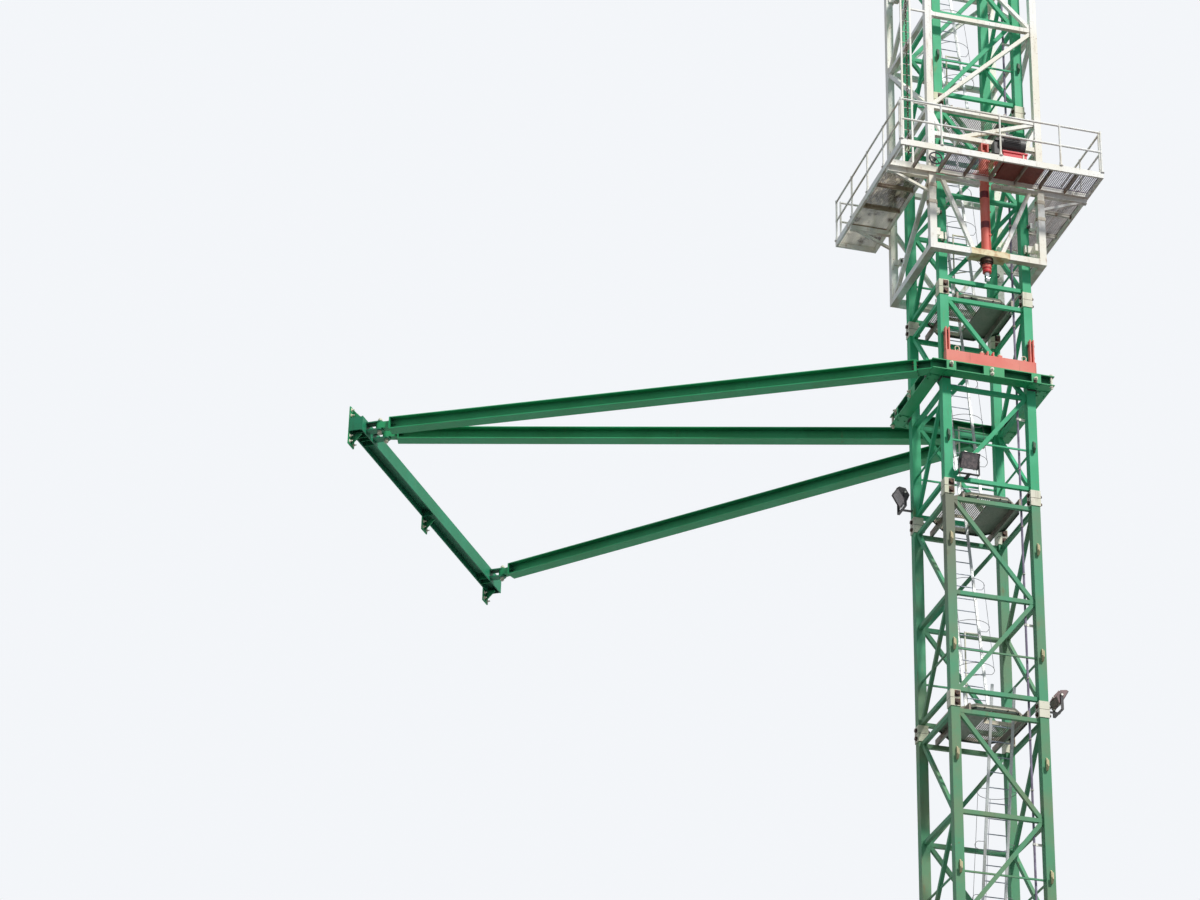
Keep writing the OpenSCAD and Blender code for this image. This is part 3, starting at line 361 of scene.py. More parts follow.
platform_surface()
front_grating()
left_grating()
zinc("grating_right", (146, 138, 136), (118, 112, 110), (104, 92, 84), 0.6, 0.65, 0.1)
zinc("bracket_zinc", (222, 220, 212), (196, 194, 186), (150, 132, 108), 0.5, 0.45)
plain("cable_sheath", (150, 140, 164), (118, 106, 128), 6.0, 0.0, 0.62, 0.3, 0.0015)
plain("lamp_black", (40, 38, 42), (58, 56, 58), 8.0)
# Right floodlight's housing: paler pinkish brown, partly wear and partly painted sunlight on its top.
plain("lamp_worn_and_painted_light", (140, 112, 112), (110, 92, 92), 8.0)
# Dark red of the ram's bands, which also paints the shadows of braces on the barrel.
plain("ram_band", (128, 34, 44), (100, 28, 36), 8.0)
plain("roller_steel", (60, 58, 58), (84, 78, 72), 12.0, 0.8, 0.42)
plain("rod_chrome", (196, 198, 200), (178, 180, 184), 5.0, 1.0, 0.16, 0.05)
plain("pad_steel", (58, 74, 64), (44, 52, 46), 9.0, 0.4, 0.6)
plain("bolt_dark", (44, 36, 34), (84, 60, 46), 20.0, 0.6)
plain("hoop_steel", (74, 80, 92), (104, 102, 100), 14.0, 0.6, 0.48)
glass_surface()

NODE_LOOKS = {"deck_front": "deck_front_paint", "deck_left": "deck_left_paint",
              "deck_right": "deck_right_paint", "cage_front": "cage_front_paint",
              "climbing_lugs": "lug_cream", "wall_beam": "wall_green_painted_shade", "wall_anchors": "tie_green",
              "floodlight_right": "lamp_worn_and_painted_light", "deck_floors": "grating_front"}

for row in RECORD["subparts"]:
    slots = frame["nodes"][row["node"]].data.materials
    slots.clear()
    slots.append(LOOKS[NODE_LOOKS.get(row["node"], row["material_slot"])])


# Small solids joined into pieces

ACROSS, BACK, UP = Vector((1, 0, 0)), Vector((0, 1, 0)), Vector((0, 0, 1))


def arc(centre, radius, first, last, steps, u=ACROSS, v=BACK):
    """Points of an arc about a centre in the plane of u and v, angles in degrees."""
    angles = [math.radians(first + (last - first) * i / steps) for i in range(steps + 1)]
    return [Vector(centre) + u * radius * math.cos(a) + v * radius * math.sin(a) for a in angles]


def circle(centre, radius, steps, u=ACROSS, v=BACK, first=0):
    return arc(centre, radius, first, first + 360, steps, u, v)[:-1]


def turned(degrees, axis="Z"):
    return Matrix.Rotation(math.radians(degrees), 4, axis)


def moved(way):
    return Matrix.Translation(way)


def placed(name, data):
    """A new object of the scene, with its data."""
    made = bpy.data.objects.new(name, data)
    bpy.context.scene.collection.objects.link(made)
    return made


class Shape:
    """Closed solids, in metres about the mast's axis, that become one piece."""

    def __init__(self, place=Matrix()):
        self.place = place
        self.points = []
        self.faces = []

    def loft(self, rings, turn=None, closed=False):
        """Joins rings of as many points each, and closes the ends."""
        n, count, first = len(rings[0]), len(rings), len(self.points)
        whole = self.place @ turn if turn else self.place
        self.points += [whole @ Vector(p) for ring in rings for p in ring]
        for i in range(count if closed else count - 1):
            a, b = first + i * n, first + (i + 1) % count * n
            self.faces += [(a + k, a + (k + 1) % n, b + (k + 1) % n, b + k) for k in range(n)]
        if not closed:
            last = first + (count - 1) * n
            self.faces += [tuple(range(first, first + n))[::-1], tuple(range(last, last + n))]

    def prism(self, outline, thickness, turn=None, low=0.0):
        """An outline in x and y, counter-clockwise, raised along z by the thickness."""
        self.loft([[(x, y, z) for x, y in outline] for z in (low, low + thickness)], turn)

    def box(self, corner, far, turn=None):
        (x0, x1), (y0, y1), (z0, z1) = (sorted(pair) for pair in zip(corner, far))
        self.prism([(x0, y0), (x1, y0), (x1, y1), (x0, y1)], z1 - z0, turn, z0)

    def block(self, centre, half, turn=None):
        """A box about its centre, from its half sizes."""
        centre, half = Vector(centre), Vector(half)
        self.box(centre - half, centre + half, turn)

    def tube(self, start, end, radius, sides=12, end_radius=None, turn=None):
        """A round or many-sided bar from start to end."""
        start, end = Vector(start), Vector(end)
        spin = (end - start).to_track_quat("Z", "Y").to_matrix().col
        ends = (start, radius), (end, radius if end_radius is None else end_radius)
        self.loft([circle(centre, r, sides, spin[0], spin[1], 180 / sides) for centre, r in ends], turn)

    def stack(self, start, way, *parts, turn=None):
        """Bars on one line. Each part says where it starts and ends, then its radius and its sides."""
        start, way = Vector(start), Vector(way)
        for low, high, *form in parts:
            self.tube(start + way * low, start + way * high, *form, turn=turn)

    def bolt(self, centre, axis, grip, radius, turn=None):
        """A bolt through a grip of metal: washers and heads, with a thread end on the nut's side."""
        face, out = grip / 2, grip / 2 + radius * 0.3
        washer, head = (face - 0.001, out, radius * 2.0, 16), (out, out + radius * 1.3, radius * 1.75, 6)
        self.stack(centre, -Vector(axis), washer, head, turn=turn)
        self.stack(centre, axis, washer, head, (out, out + radius * 2.2, radius), turn=turn)

    def wire(self, route, radius, sides=8, closed=False, turn=None):
        """A bent round bar along a route of points."""
        route = [Vector(p) for p in route]
        n, rings, side = len(route), [], None
        for i, point in enumerate(route):
            before = route[i - 1] if (i or closed) else point
            after = route[(i + 1) % n] if (i < n - 1 or closed) else point
            way = (after - before).normalized()
            side = side or way.orthogonal().normalized()
            side = (side - way * side.dot(way)).normalized()
            rings.append(circle(point, radius, sides, side, way.cross(side)))
        self.loft(rings, turn, closed)

    def build(self, name, body, slot, smooth=35.0, bevel=0.0):
        mesh = bpy.data.meshes.new(name)
        mesh.from_pydata([p + AXIS for p in self.points], [], self.faces)
        mesh.validate()
        mesh.shade_smooth()
        mesh.set_sharp_from_angle(angle=math.radians(smooth))
        mesh.materials.append(LOOKS[slot])
        piece = placed(name, mesh)
        if bevel:
            soften = piece.modifiers.new("soft_edges", "BEVEL")
            soften.width = bevel
            soften.angle_limit = math.radians(50)
        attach(piece, body)
        return piece


# Mast

def coupling_bolts():
    """Two bolts a half sleeve: through from the front on two legs, and from side to side on two."""
    bolts, seams_and_shade_plates = Shape(), Shape()
    half, rise, shift, bolt_r = COUPLING_W / 2, 0.093, 0.035, 0.026
    around = half + 0.0015
    for k in range(SECTIONS + 1):
        sides = [side for side in (-1, 1) if 0 <= 2 * k + side <= 2 * SECTIONS]
        for sx, sy in LEGS:
            x, y, joint = sx * HALF_PITCH, sy * HALF_PITCH, SECTION_H * k
            for z in [joint + side * rise for side in sides]:
                if sx == sy:
                    bolts.bolt((x + shift, y, z), BACK, COUPLING_W, bolt_r)
                    # Dark plate over the +X half of the coupling: dark rust, and a painted shade on that
                    # half.
                    seams_and_shade_plates.box((x - 0.02, y - around, z - 0.075), (x + half - 0.012, y + around, z + 0.075))
                else:
                    bolts.bolt((x, y, z), ACROSS, COUPLING_W, bolt_r)
            if len(sides) == 2:
                seams_and_shade_plates.block((x, y, joint), (around, around, 0.004))
    bolts.build("coupling_bolts", "mast", "bolt_dark")
    seams_and_shade_plates.build("coupling_seams_and_shade_plates", "mast", "bolt_dark")


PLATFORM_LOW = 4.951
PLATFORM_T = 0.03
PLATFORM_HALF = 0.86
PLATFORM_CUT = 0.43
PLATFORM_CORNER = 2 * PLATFORM_HALF - PLATFORM_CUT
PLATE_START = 0.08
BEARER_X = 0.648
BEARER_W = 0.046
BEARER_H = 0.15
BEARER_REACH = 1.033
HATCH_LOW = (-0.62, 0.18)
HATCH_HIGH = (0.02, 0.76)
LADDER_REACH = 0.56


def climb_turn(k):
    """The lowest ladder and its hatch are turned half round against the others."""
    return turned(180 if k == 0 else 0)


def ladder_line(k):
    """Foot and head of a ladder's middle line, before its turn."""
    foot = 0.275 if k == 0 else SECTION_H * (k - 1) + PLATFORM_LOW + PLATFORM_T
    head = SECTION_H * k + PLATFORM_LOW + PLATFORM_T + (-0.4 if k == SECTIONS - 1 else 0.7)
    return Vector((-LADDER_X, -LADDER_REACH, foot)), Vector((-LADDER_X, LADDER_REACH, head))


def ladders():
    """Leaning ladders with wide stiles, and the bar under the lowest one."""
    shape = Shape()
    wide, deep, step = 0.06, 0.03, 0.33
    shape.block((0, -LADDER_REACH, 0.245), (0.947, 0.04, 0.03), climb_turn(0))
    for k in range(SECTIONS):
        foot, head = ladder_line(k)
        lean = math.atan2(head.y - foot.y, head.z - foot.z)
        length = (head - foot).length
        run = climb_turn(k) @ moved(foot) @ Matrix.Rotation(-lean, 4, "X")
        for side in (-1, 1):
            x = side * LADDER_HALF
            shape.box((x, -deep / 2, 0.006), (x - side * wide, deep / 2, length), run)
        reach = LADDER_HALF - 0.02
        for i in range(1, int((length - 0.04) / step) + 1):
            shape.stack((0, 0, i * step), ACROSS, (-reach, reach, 0.012, 8), turn=run)
    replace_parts(shape.build("ladder_runs", "mast", "ladder_zinc"), "ladders")


def ladder_guards():
    """Wire hoops with upright straps on the climber's side of each ladder, below the platform over it."""
    hoops = Shape()
    radius, wire = 0.42, 0.006
    for k in range(SECTIONS):
        foot, head = ladder_line(k)
        slope = (head - foot) / (head.z - foot.z)
        straps = {angle: [] for angle in (215, 270, 325)}
        for rise in (1.0, 2.1, 3.2):
            middle = foot + slope * rise
            centre = middle - BACK * 0.10
            left, right = middle - ACROSS * LADDER_HALF, middle + ACROSS * LADDER_HALF
            hoops.wire([left] + arc(centre, radius, 170, 370, 20) + [right], wire, 6, turn=climb_turn(k))
            for angle, route in straps.items():
                route += arc(centre, radius, angle, angle, 1)[:1]
        for route in straps.values():
            hoops.wire(route, wire * 0.8, 6, turn=climb_turn(k))
    hoops.build("ladder_guards", "mast", "hoop_steel")


def grab_frames():
    """A tall white bow at each ladder's foot, tied to the ladder's stile."""
    bows = Shape()
    tall, tube = 2.04, 0.018
    for k in range(1, SECTIONS):
        foot, head = ladder_line(k)
        stile = foot + (head - foot) / (head.z - foot.z) * tall + ACROSS * (LADDER_HALF - 0.02)
        stand = Vector((foot.x - 0.08, stile.y, foot.z))
        bows.stack(stand, UP, (-0.001, tall, tube, 10))
        bows.stack(stand + UP * (tall - tube), ACROSS, (0, stile.x - stand.x, tube, 10))
        bows.tube(stand + UP, (stile.x - 0.02, stile.y - 0.2, foot.z + 1), tube * 0.7, 10)
    bows.build("grab_frames", "mast", "pin_white")


def octagon(half, cut):
    """Corners of a rest platform, counter-clockwise."""
    e = half - cut
    return [(-e, -half), (e, -half), (half, -e), (half, e), (e, half), (-e, half), (-half, e), (-half, -e)]


def grating(shape, low, high, top, bars, spans=None, turn=None):
    """Open floor: upright bars along one axis, shallow rods along the other and a deep edge all round.

    `spans` gives the stretches that lie on the floor along a line, and is left out for a whole rectangle."""
    thick, deep = 0.005, 0.024
    for axis, step, depth in ((bars, 0.045, deep), (1 - bars, 0.05, 0.010)):
        width = high[1 - axis] - low[1 - axis] - thick
        count = round(width / step)
        for i in range(count + 1):
            at = low[1 - axis] + i * width / count
            whole = [(low[axis], high[axis])]
            for start, end in (spans(axis, at + thick / 2) if spans else whole):
                drop = deep if i in (0, count) else depth
                corner, far = [0, 0, top - drop], [0, 0, top if axis == bars else top - 0.001]
                corner[axis], far[axis] = start, end
                corner[1 - axis], far[1 - axis] = at, at + thick
                shape.box(corner, far, turn)


def platform_spans(axis, at):
    """Stretches of a rest platform along a line, without its hatch."""
    reach = min(PLATFORM_HALF, PLATFORM_CORNER - abs(at)) - 0.004
    start, end = HATCH_LOW[axis], HATCH_HIGH[axis]
    if not HATCH_LOW[1 - axis] < at < HATCH_HIGH[1 - axis]:
        return [(-reach, reach)]
    return [(a, b) for a, b in ((-reach, start), (end, reach)) if b > a + 0.01]


def open_spans(axis, at):
    """The stretches on the hatch's side of the plate."""
    spans = platform_spans(axis, at)
    if axis == 0:
        spans = [(start, min(end, PLATE_START)) for start, end in spans if start < PLATE_START - 0.01]
    return spans


def rest_platforms():
    """Gratings on two bearers, three with a plate beside the hatch. They stand for the CAD's plates."""
    solid, half = Shape(), PLATFORM_HALF
    plate = [(PLATE_START, -half)] + octagon(half, PLATFORM_CUT)[1:5] + [(PLATE_START, half)]
    for k in range(SECTIONS - 1):
        low = SECTION_H * k + PLATFORM_LOW
        far, spans = half, platform_spans
        if k < SECTIONS - 2:
            far, spans = PLATE_START, open_spans
            solid.prism(plate, PLATFORM_T, climb_turn(k), low)
        grating(solid, (-half, -half), (far, half), low + PLATFORM_T, 1, spans, climb_turn(k))
        for x in (-BEARER_X, BEARER_X):
            corner = x - BEARER_W / 2, -BEARER_REACH, low - BEARER_H
            solid.box(corner, (x + BEARER_W / 2, BEARER_REACH, low - 0.0005))
    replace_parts(solid.build("platform_plates", "mast", "platform_steel"), "rest_platforms")


def platform_trim():
    """Upstand bands, edges, hatch frames, lozenge studs and bolts of the rest platforms."""
    bands, edges, studs, bolts = Shape(), Shape(), Shape(), Shape()
    ring = [Vector((x, y, 0)) for x, y in octagon(PLATFORM_HALF, PLATFORM_CUT)]
    (x0, y0), (x1, y1), thin, gap = HATCH_LOW, HATCH_HIGH, 0.006, 0.10
    for k in range(SECTIONS - 1):
        z = SECTION_H * k + PLATFORM_LOW
        turn = climb_turn(k)
        for i, a in enumerate(ring):
            edge = ring[(i + 1) % len(ring)] - a
            spin = moved(a + UP * z) @ Matrix.Rotation(math.atan2(edge.y, edge.x), 4, "Z")
            bands.box((-0.002, -0.007, 0.016), (edge.length + 0.002, -0.0005, 0.090), spin)
            edges.box((-0.002, -0.006, -0.035), (edge.length + 0.002, -0.0005, 0.0165), spin)
            for part in (0.2, 0.8):
                bolts.bolt((edge.length * part, -0.010, 0.012), (0, -1, 0), 0.010, 0.008, spin)
        for *low, right, back in ((x0, y0 - thin, x1, y0), (x0 + gap, y1, x1, y1 + thin),
                                  (x0 - thin, y0, x0, y1 - gap), (x1, y0, x1 + thin, y1)):
            bands.box((*low, z - 0.02), (right, back, z + 0.07), turn)
        if k == SECTIONS - 2:
            continue
        step, count = 0.06, 14
        for row in range(1 - count, count):
            for column in range(count):
                x, y = step * column + (step / 2 if row % 2 else 0), step * row
                if PLATE_START + 0.02 < x < PLATFORM_HALF - 0.05 and x + abs(y) < PLATFORM_CORNER - 0.06:
                    spot = moved((x, y, z + PLATFORM_T - 0.0005))
                    tilt = spot @ turned(45 if (row + column) % 2 else -45)
                    studs.prism([(-0.016, 0), (0, -0.005), (0.016, 0), (0, 0.005)], 0.0025, turn @ tilt)
    bands.build("platform_bands", "mast", "band_cream")
    edges.build("platform_edges", "mast", "pad_steel")
    studs.build("platform_studs", "mast", "platform_steel")
    bolts.build("platform_bolts", "mast", "bolt_dark")


CABLE = Vector((0.72, -0.905, 0))


def cable_ties():
    """White ties round the power cable, with their tails, between the clips."""
    ties = Shape()
    for k in range(SECTIONS):
        for rise in (0.75, 3.2, 4.35):
            spot = CABLE + UP * (SECTION_H * k + rise)
            ties.wire(circle(spot, 0.031, 18), 0.006, 6, closed=True)
            ties.block(spot - BACK * 0.039, (0.012, 0.009, 0.01))
            ties.block(spot - BACK * 0.070, (0.004, 0.025, 0.002))
    ties.build("cable_ties", "mast", "pin_white")


def lamp_pieces():
    """Rim, glass, latches, trunnion caps and cable gland of each floodlight."""
    facing = {"floodlight_front": 0, "floodlight_left": -90, "floodlight_right": 90}
    w, h, front, lip = 0.21, 0.18, -0.075, 0.022
    pivots = {joint["child"]: joint.get("pos_m") for joint in RECORD["behaviour"]["joints"]}
    for body, degrees in facing.items():
        place = moved(Vector(pivots[body]) - AXIS) @ turned(degrees) @ turned(30, "X")
        rim, glass, fittings = Shape(place), Shape(place), Shape(place)
        for x0, z0, x1, z1 in ((-w, -h, w, lip - h), (-w, h - lip, w, h),
                               (-w, lip - h, lip - w, h - lip), (w - lip, lip - h, w, h - lip)):
            rim.box((x0, front - 0.016, z0), (x1, front - 0.0005, z1))
        bulge = [(t * (w - lip), front - 0.003 - 0.008 * (1 - t * t)) for t in [i / 4 - 1 for i in range(9)]]
        rear = [(w - lip, front - 0.0005), (lip - w, front - 0.0005)]
        glass.prism(bulge + rear, 2 * (h - lip), low=lip - h)
        for x in (-0.13, 0.13):
            fittings.box((x - 0.02, front - 0.024, -h - 0.012), (x + 0.02, front + 0.02, -h + 0.008))
            fittings.stack((x, front - 0.004, h + 0.006), ACROSS, (-0.03, 0.03, 0.008, 10))
        fittings.stack((0, 0, -0.03), BACK, (0.074, 0.110, 0.018), (0.110, 0.128, 0.013, 12, 0.009))
        for side in (-1, 1):
            fittings.stack((0, 0, 0), ACROSS * side, (0.241, 0.256, 0.024))
        rim.build(body + "_rim", body, "lamp_black", bevel=0.002)
        glass.build(body + "_glass", body, "lamp_glass", smooth=60)
        fittings.build(body + "_fittings", body, "bracket_zinc")


# Tie collar, struts and wall beam

WALL = turned(55.7)
STRUT_PINS = {"far": -2.755, "middle": -2.345, "near": 5.13}
WALL_DIST = 13.42
PIN_STANDOFF = 0.30


def collar_trim():
    """Pale clamp bolts at the stiffeners, corner plates, and the upright bolts of the free ends."""
    bolts, plates, wedges = Shape(), Shape(), Shape()
    half = COLLAR_H / 2
    for degrees in (0, 90, 180, 270):
        turn = turned(degrees)
        for x, rise in ((-HALF_PITCH, 0.05), (-0.05, 0.04), (-0.05, -0.07), (HALF_PITCH - 0.02, -0.02)):
            z = COLLAR_Z + rise
            washer, nut, thread = (-0.001, 0.014, 0.046, 20), (0.014, 0.044, 0.040, 6), (0.044, 0.075, 0.022)
            bolts.stack((x, -COLLAR_OUT, z), -BACK, washer, nut, thread, turn=turn)
            if abs(x) > 0.5:
                wedges.box((x - 0.05, -COLLAR_OUT - 0.012, z - 0.095),
                           (x + 0.03, 0.001 - COLLAR_OUT, z - 0.047), turn)
        for x in (-HALF_PITCH, HALF_PITCH):
            for sign in (-1, 1):
                flat = COLLAR_Z + sign * half
                out = flat + sign * 0.012
                plates.box((x - 0.13, 0.02 - COLLAR_OUT, flat), (x + 0.13, 0.27 - COLLAR_OUT, out), turn)
                for dx in (-0.09, 0.09):
                    for y in (0.06, 0.23):
                        head = (x + dx, y - COLLAR_OUT, out)
                        plates.stack(head, UP * sign, (-0.001, 0.018, 0.020, 6), turn=turn)
    for x, y in ((COLLAR_OUT - 0.06, 0.05 - COLLAR_OUT), (0.05 - COLLAR_OUT, COLLAR_OUT - 0.06)):
        bolts.stack((x, y, COLLAR_Z), UP, (-half - 0.07, half + 0.05, 0.028, 14),
                    (-half - 0.036, -half - 0.001, 0.045, 6), (half + 0.001, half + 0.036, 0.045, 6))
    bolts.build("collar_bolts", "mast", "pin_white")
    plates.build("collar_corner_plates", "mast", "tie_green", bevel=0.002)
    wedges.build("collar_wedges", "mast", "bolt_dark", bevel=0.002)


def wall_pin(along):
    """A strut pin at the wall, on the collar's level."""
    return WALL @ Vector((along, WALL_DIST - PIN_STANDOFF, 0)) + UP * COLLAR_Z


def strut_trim():
    """Bolts of the corner joint, end plates with gussets, and heads of the strut pins."""
    bolts, plates, heads = Shape(), Shape(), Shape()
    flange_half, web_half, depth, plate_at = 0.150, 0.0085, 0.1295, 0.276
    corner = Vector((-COLLAR_MID, -COLLAR_MID, COLLAR_Z))
    mast_pins = [Vector((x, 1.62, COLLAR_Z)) for x in (0.22, 0.88)]
    wall_pins = [wall_pin(along) for along in STRUT_PINS.values()]
    for start, end in zip([corner] + mast_pins, wall_pins):
        way = end - start
        turn = moved(start) @ Matrix.Rotation(math.atan2(way.y, way.x), 4, "Z")
        ends = [(plate_at, 1), (way.length - plate_at, -1)]
        if start is corner:
            ends = ends[1:]
            for y in (-0.11, 0.11):
                for z in (-0.085, 0.0, 0.085):
                    bolts.bolt((0.46, y, z), ACROSS, 0.062, 0.014, turn)
        for x, toward in ends:
            for side in (-1, 1):
                plates.box((x - 0.008, side * web_half, -depth), (x + 0.008, side * flange_half, depth), turn)
                outline = [(0, 0), (toward * 0.13, 0), (0, 0.075)][::toward]
                gusset = moved((x, side * web_half, 0.005 * side)) @ turned(90 * side - 90, "X")
                plates.prism(outline, 0.010, turn @ gusset)
    pins_low, pins_high = about_axis("strut_pins")
    for spot in wall_pins + mast_pins:
        for level, sign in ((pins_low.z, -1), (pins_high.z, 1)):
            head, end = (-0.001, 0.029, 0.052, 8), (-0.001, 0.054, 0.030)
            heads.stack((spot.x, spot.y, level), UP * sign, head, end)
    heads.build("strut_pin_heads", "mast", "pin_white")
    bolts.build("strut_joint_bolts", "mast", "bolt_dark")
    plates.build("strut_end_plates", "mast", "tie_green", bevel=0.002)


def wall_trim():
    """Anchor bolts, and stiffeners of the wall beam at its strut pins."""
    at_wall = WALL @ moved((0, WALL_DIST, COLLAR_Z))
    anchors, ribs = Shape(at_wall), Shape(at_wall)
    far_end, near_end, depth = -3.06, 5.83, 0.32
    for middle in (far_end + 0.17, (far_end + near_end) / 2 + 0.2, near_end - 0.2):
        for x in (middle - 0.11, middle + 0.11):
            for z in (-0.40, -0.26, 0.26, 0.40):
                anchors.box((x - 0.035, depth - 0.010, z - 0.035), (x + 0.035, depth + 0.0005, z + 0.035))
                anchors.stack((x, depth, z), -BACK, (0.010, 0.034, 0.026, 6), (0.034, 0.075, 0.014))
    for along in STRUT_PINS.values():
        for x in (along - 0.12, along + 0.12):
            for side in (-1, 1):
                ribs.box((x - 0.006, 0.0245, side * 0.0095), (x + 0.006, depth - 0.0245, side * 0.150))
    anchors.build("anchor_bolts", "mast", "pin_white")
    ribs.build("wall_beam_ribs", "mast", "tie_green", bevel=0.002)


# Climbing yoke

YOKE_TOP = 13.275
YOKE_FRONT = -1.295
YOKE_PIN_Y, YOKE_PIN_Z = -1.165, 13.75


def shackle(shape, foot, size):
    """A bow shackle standing on a lug, its pin across x."""
    bow = arc(foot + UP * size * 0.75, size * 0.5, 200, -20, 20, v=UP)
    shape.wire([foot - ACROSS * size * 0.42] + bow + [foot + ACROSS * size * 0.42], size * 0.12)
    shape.stack(foot, ACROSS * size, (-0.62, 0.62, size * 0.14, 10))


def yoke_trim():
    """Shackles on their lugs, a middle bracket, pin caps and bolts on the yoke."""
    steel, lugs, pins = Shape(), Shape(), Shape()
    for x in (-0.767, 0.801):
        lugs.box((x - 0.012, RAM_Y - 0.035, YOKE_TOP - 0.001), (x + 0.012, RAM_Y + 0.035, YOKE_TOP + 0.06))
        shackle(steel, Vector((x, RAM_Y, YOKE_TOP + 0.038)), 0.10)
    for side in (-1, 1):
        x = side * HALF_PITCH
        for out in (-ACROSS, ACROSS):
            for z in (13.33, 13.44):
                lugs.stack((x, RAM_Y, z), out, (0.049, 0.066, 0.018, 6))
            pins.stack((x, YOKE_PIN_Y, YOKE_PIN_Z), out, (0.068, 0.075, 0.040, 16))
        bracket = Vector((side * 0.21, YOKE_FRONT + 0.0255, YOKE_TOP + 0.0245))
        lugs.block(bracket, (0.05, 0.0245, 0.0255))
        steel.stack(bracket - BACK * 0.0005, UP, (0.0245, 0.0645, 0.026, 10))
    steel.build("yoke_shackles", "yoke", "pin_white")
    lugs.build("yoke_lugs", "yoke", "yoke_red", bevel=0.002)
    pins.build("yoke_pin_caps", "yoke", "bolt_dark")


# Climbing cage

CAGE_HALF = 1.30
POST_W = 0.16
RING_W = 0.11
FRONT_FLOOR_START = -1.181


def deck_gratings():
    """Floor gratings between the edge bands of the three decks. The first two front bays stay open."""
    top = about_axis("deck_floors")[1].z
    for side in ("front", "left", "right"):
        low, high = DECKS["deck_" + side]
        front = side == "front"
        start = FRONT_FLOOR_START if front else low.x + BAND
        shape = Shape()
        grating(shape, (start, low.y + BAND), (high.x - BAND, high.y - BAND), top, int(front))
        piece = shape.build("deck_%s_grating" % side, "cage", "grating_" + side)
        if front:
            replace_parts(piece, "deck_floors")


def drip_trays():
    """Two thin rusty trays between the joists under the power pack."""
    trays = Shape()
    low, high = DECKS["deck_front"]
    front, back = low.y + BAND + 0.01, high.y - BAND - 0.01
    for x0, x1 in ((0.16, 0.628), (0.677, 1.12)):
        trays.box((x0, front, DECK_TOP - 0.062), (x1, back, DECK_TOP - 0.058))
        for y in (front, back - 0.004):
            trays.box((x0, y, DECK_TOP - 0.058), (x1, y + 0.004, DECK_TOP - 0.045))
    trays.build("drip_trays", "cage", "grating_front")


def cage_gussets():
    """Small corner gussets where the ring beams meet the posts."""
    plates = Shape()
    leg, thick = 0.11, 0.010
    ring_sides = (18.88, -1), (19.61, 1), (22.19, -1), (22.19, 1)
    inner = CAGE_HALF - POST_W / 2
    for degrees in (0, 90, 180, 270):
        for side in (-1, 1):
            for z, sign in ring_sides:
                corner = Vector((side * (inner + 0.001), 0, z + sign * (RING_W / 2 - 0.001)))
                outline = [(0, 0), (-side * leg, 0), (0, sign * leg)][::-side * sign]
                upright = moved(corner + BACK * (thick / 2 - CAGE_HALF)) @ turned(90, "X")
                plates.prism(outline, thick, turned(degrees) @ upright)
    plates.build("cage_gussets", "cage", "cage_white")


def post_clamps():
    """Split clamps with bolts on the front posts, above the low rollers."""
    clamps, bolts = Shape(), Shape()
    half, flange, heights = POST_W / 2 + 0.012, 0.035, (17.02, 17.46)
    for x in (-CAGE_HALF, CAGE_HALF):
        for z in heights:
            spot = Vector((x, -CAGE_HALF, z))
            clamps.block(spot, (half, half, 0.045))
            for out in (-ACROSS, ACROSS):
                middle = spot + out * (half + flange / 2)
                clamps.block(middle - out * 0.0005, (flange / 2 + 0.0005, 0.02, 0.04))
                for rise in (-0.02, 0.02):
                    bolts.bolt(middle + UP * rise, BACK, 0.040, 0.007)
    clamps.build("post_clamps", "cage", "band_cream", bevel=0.003)
    bolts.build("post_clamp_bolts", "cage", "bolt_dark")


def rail_fittings():
    """Sockets of the guard rail posts and round joints at the rails."""
    sockets = Shape()
    inset = 0.025
    left, right = DECKS["deck_left"][0].x + inset, DECKS["deck_right"][1].x - inset
    front = DECKS["deck_front"][0].y + inset
    side_start, side_len = front + 0.1, 4.43
    places = [(x, front) for x in (left, -1.39, 0.01, 1.45, right)]
    places += [(x, side_start + side_len * part / 4) for x in (left, right) for part in (1, 2, 3, 4)]
    plate, socket = (-0.001, 0.012, 0.055, 16), (0.011, 0.10, 0.031)
    joints = [(rail - 0.032, rail + 0.032, 0.0275) for rail in (0.55, 1.076)]
    for x, y in places:
        sockets.stack((x, y, DECK_TOP), UP, plate, socket, *joints)
    sockets.build("rail_sockets", "cage", "cage_white")


def hoist_chain():
    """Chain that hangs from a bar between the rails of the upright ladder."""
    links = Shape()
    top, bottom, pitch, bow = Vector((-1.86, -1.395, 24.70)), 18.10, 0.075, 0.020
    straight = UP * (pitch * 0.60 - bow)
    for i in range(int((top.z - bottom) / pitch)):
        centre = top - UP * i * pitch
        across = ACROSS if i % 2 == 0 else BACK
        upper = arc(centre + straight, bow, 0, 180, 6, across, UP)
        lower = arc(centre - straight, bow, 180, 360, 6, across, UP)
        links.wire(upper + lower, 0.0075, 6, closed=True)
    links.stack(top + UP * 0.06, ACROSS, (-0.11, 0.11, 0.016, 10))
    links.build("hoist_chain", "cage", "bolt_dark", smooth=60)


def hand_wheel():
    """Spoked black wheel with its axle on the left post, just above the front deck's frame."""
    wheel = Shape()
    centre = Vector((-1.24, -1.46, 18.12))
    radius = 0.15
    wheel.wire(circle(centre, radius, 36, v=UP), 0.018, 10, closed=True)
    for spoke in arc(centre, radius, 17, 305, 4, v=UP):
        wheel.tube(centre, spoke, 0.012)
    wheel.stack(centre, BACK, (-0.03, 0.081, 0.032, 16))
    wheel.build("hand_wheel", "cage", "lamp_black", smooth=60)


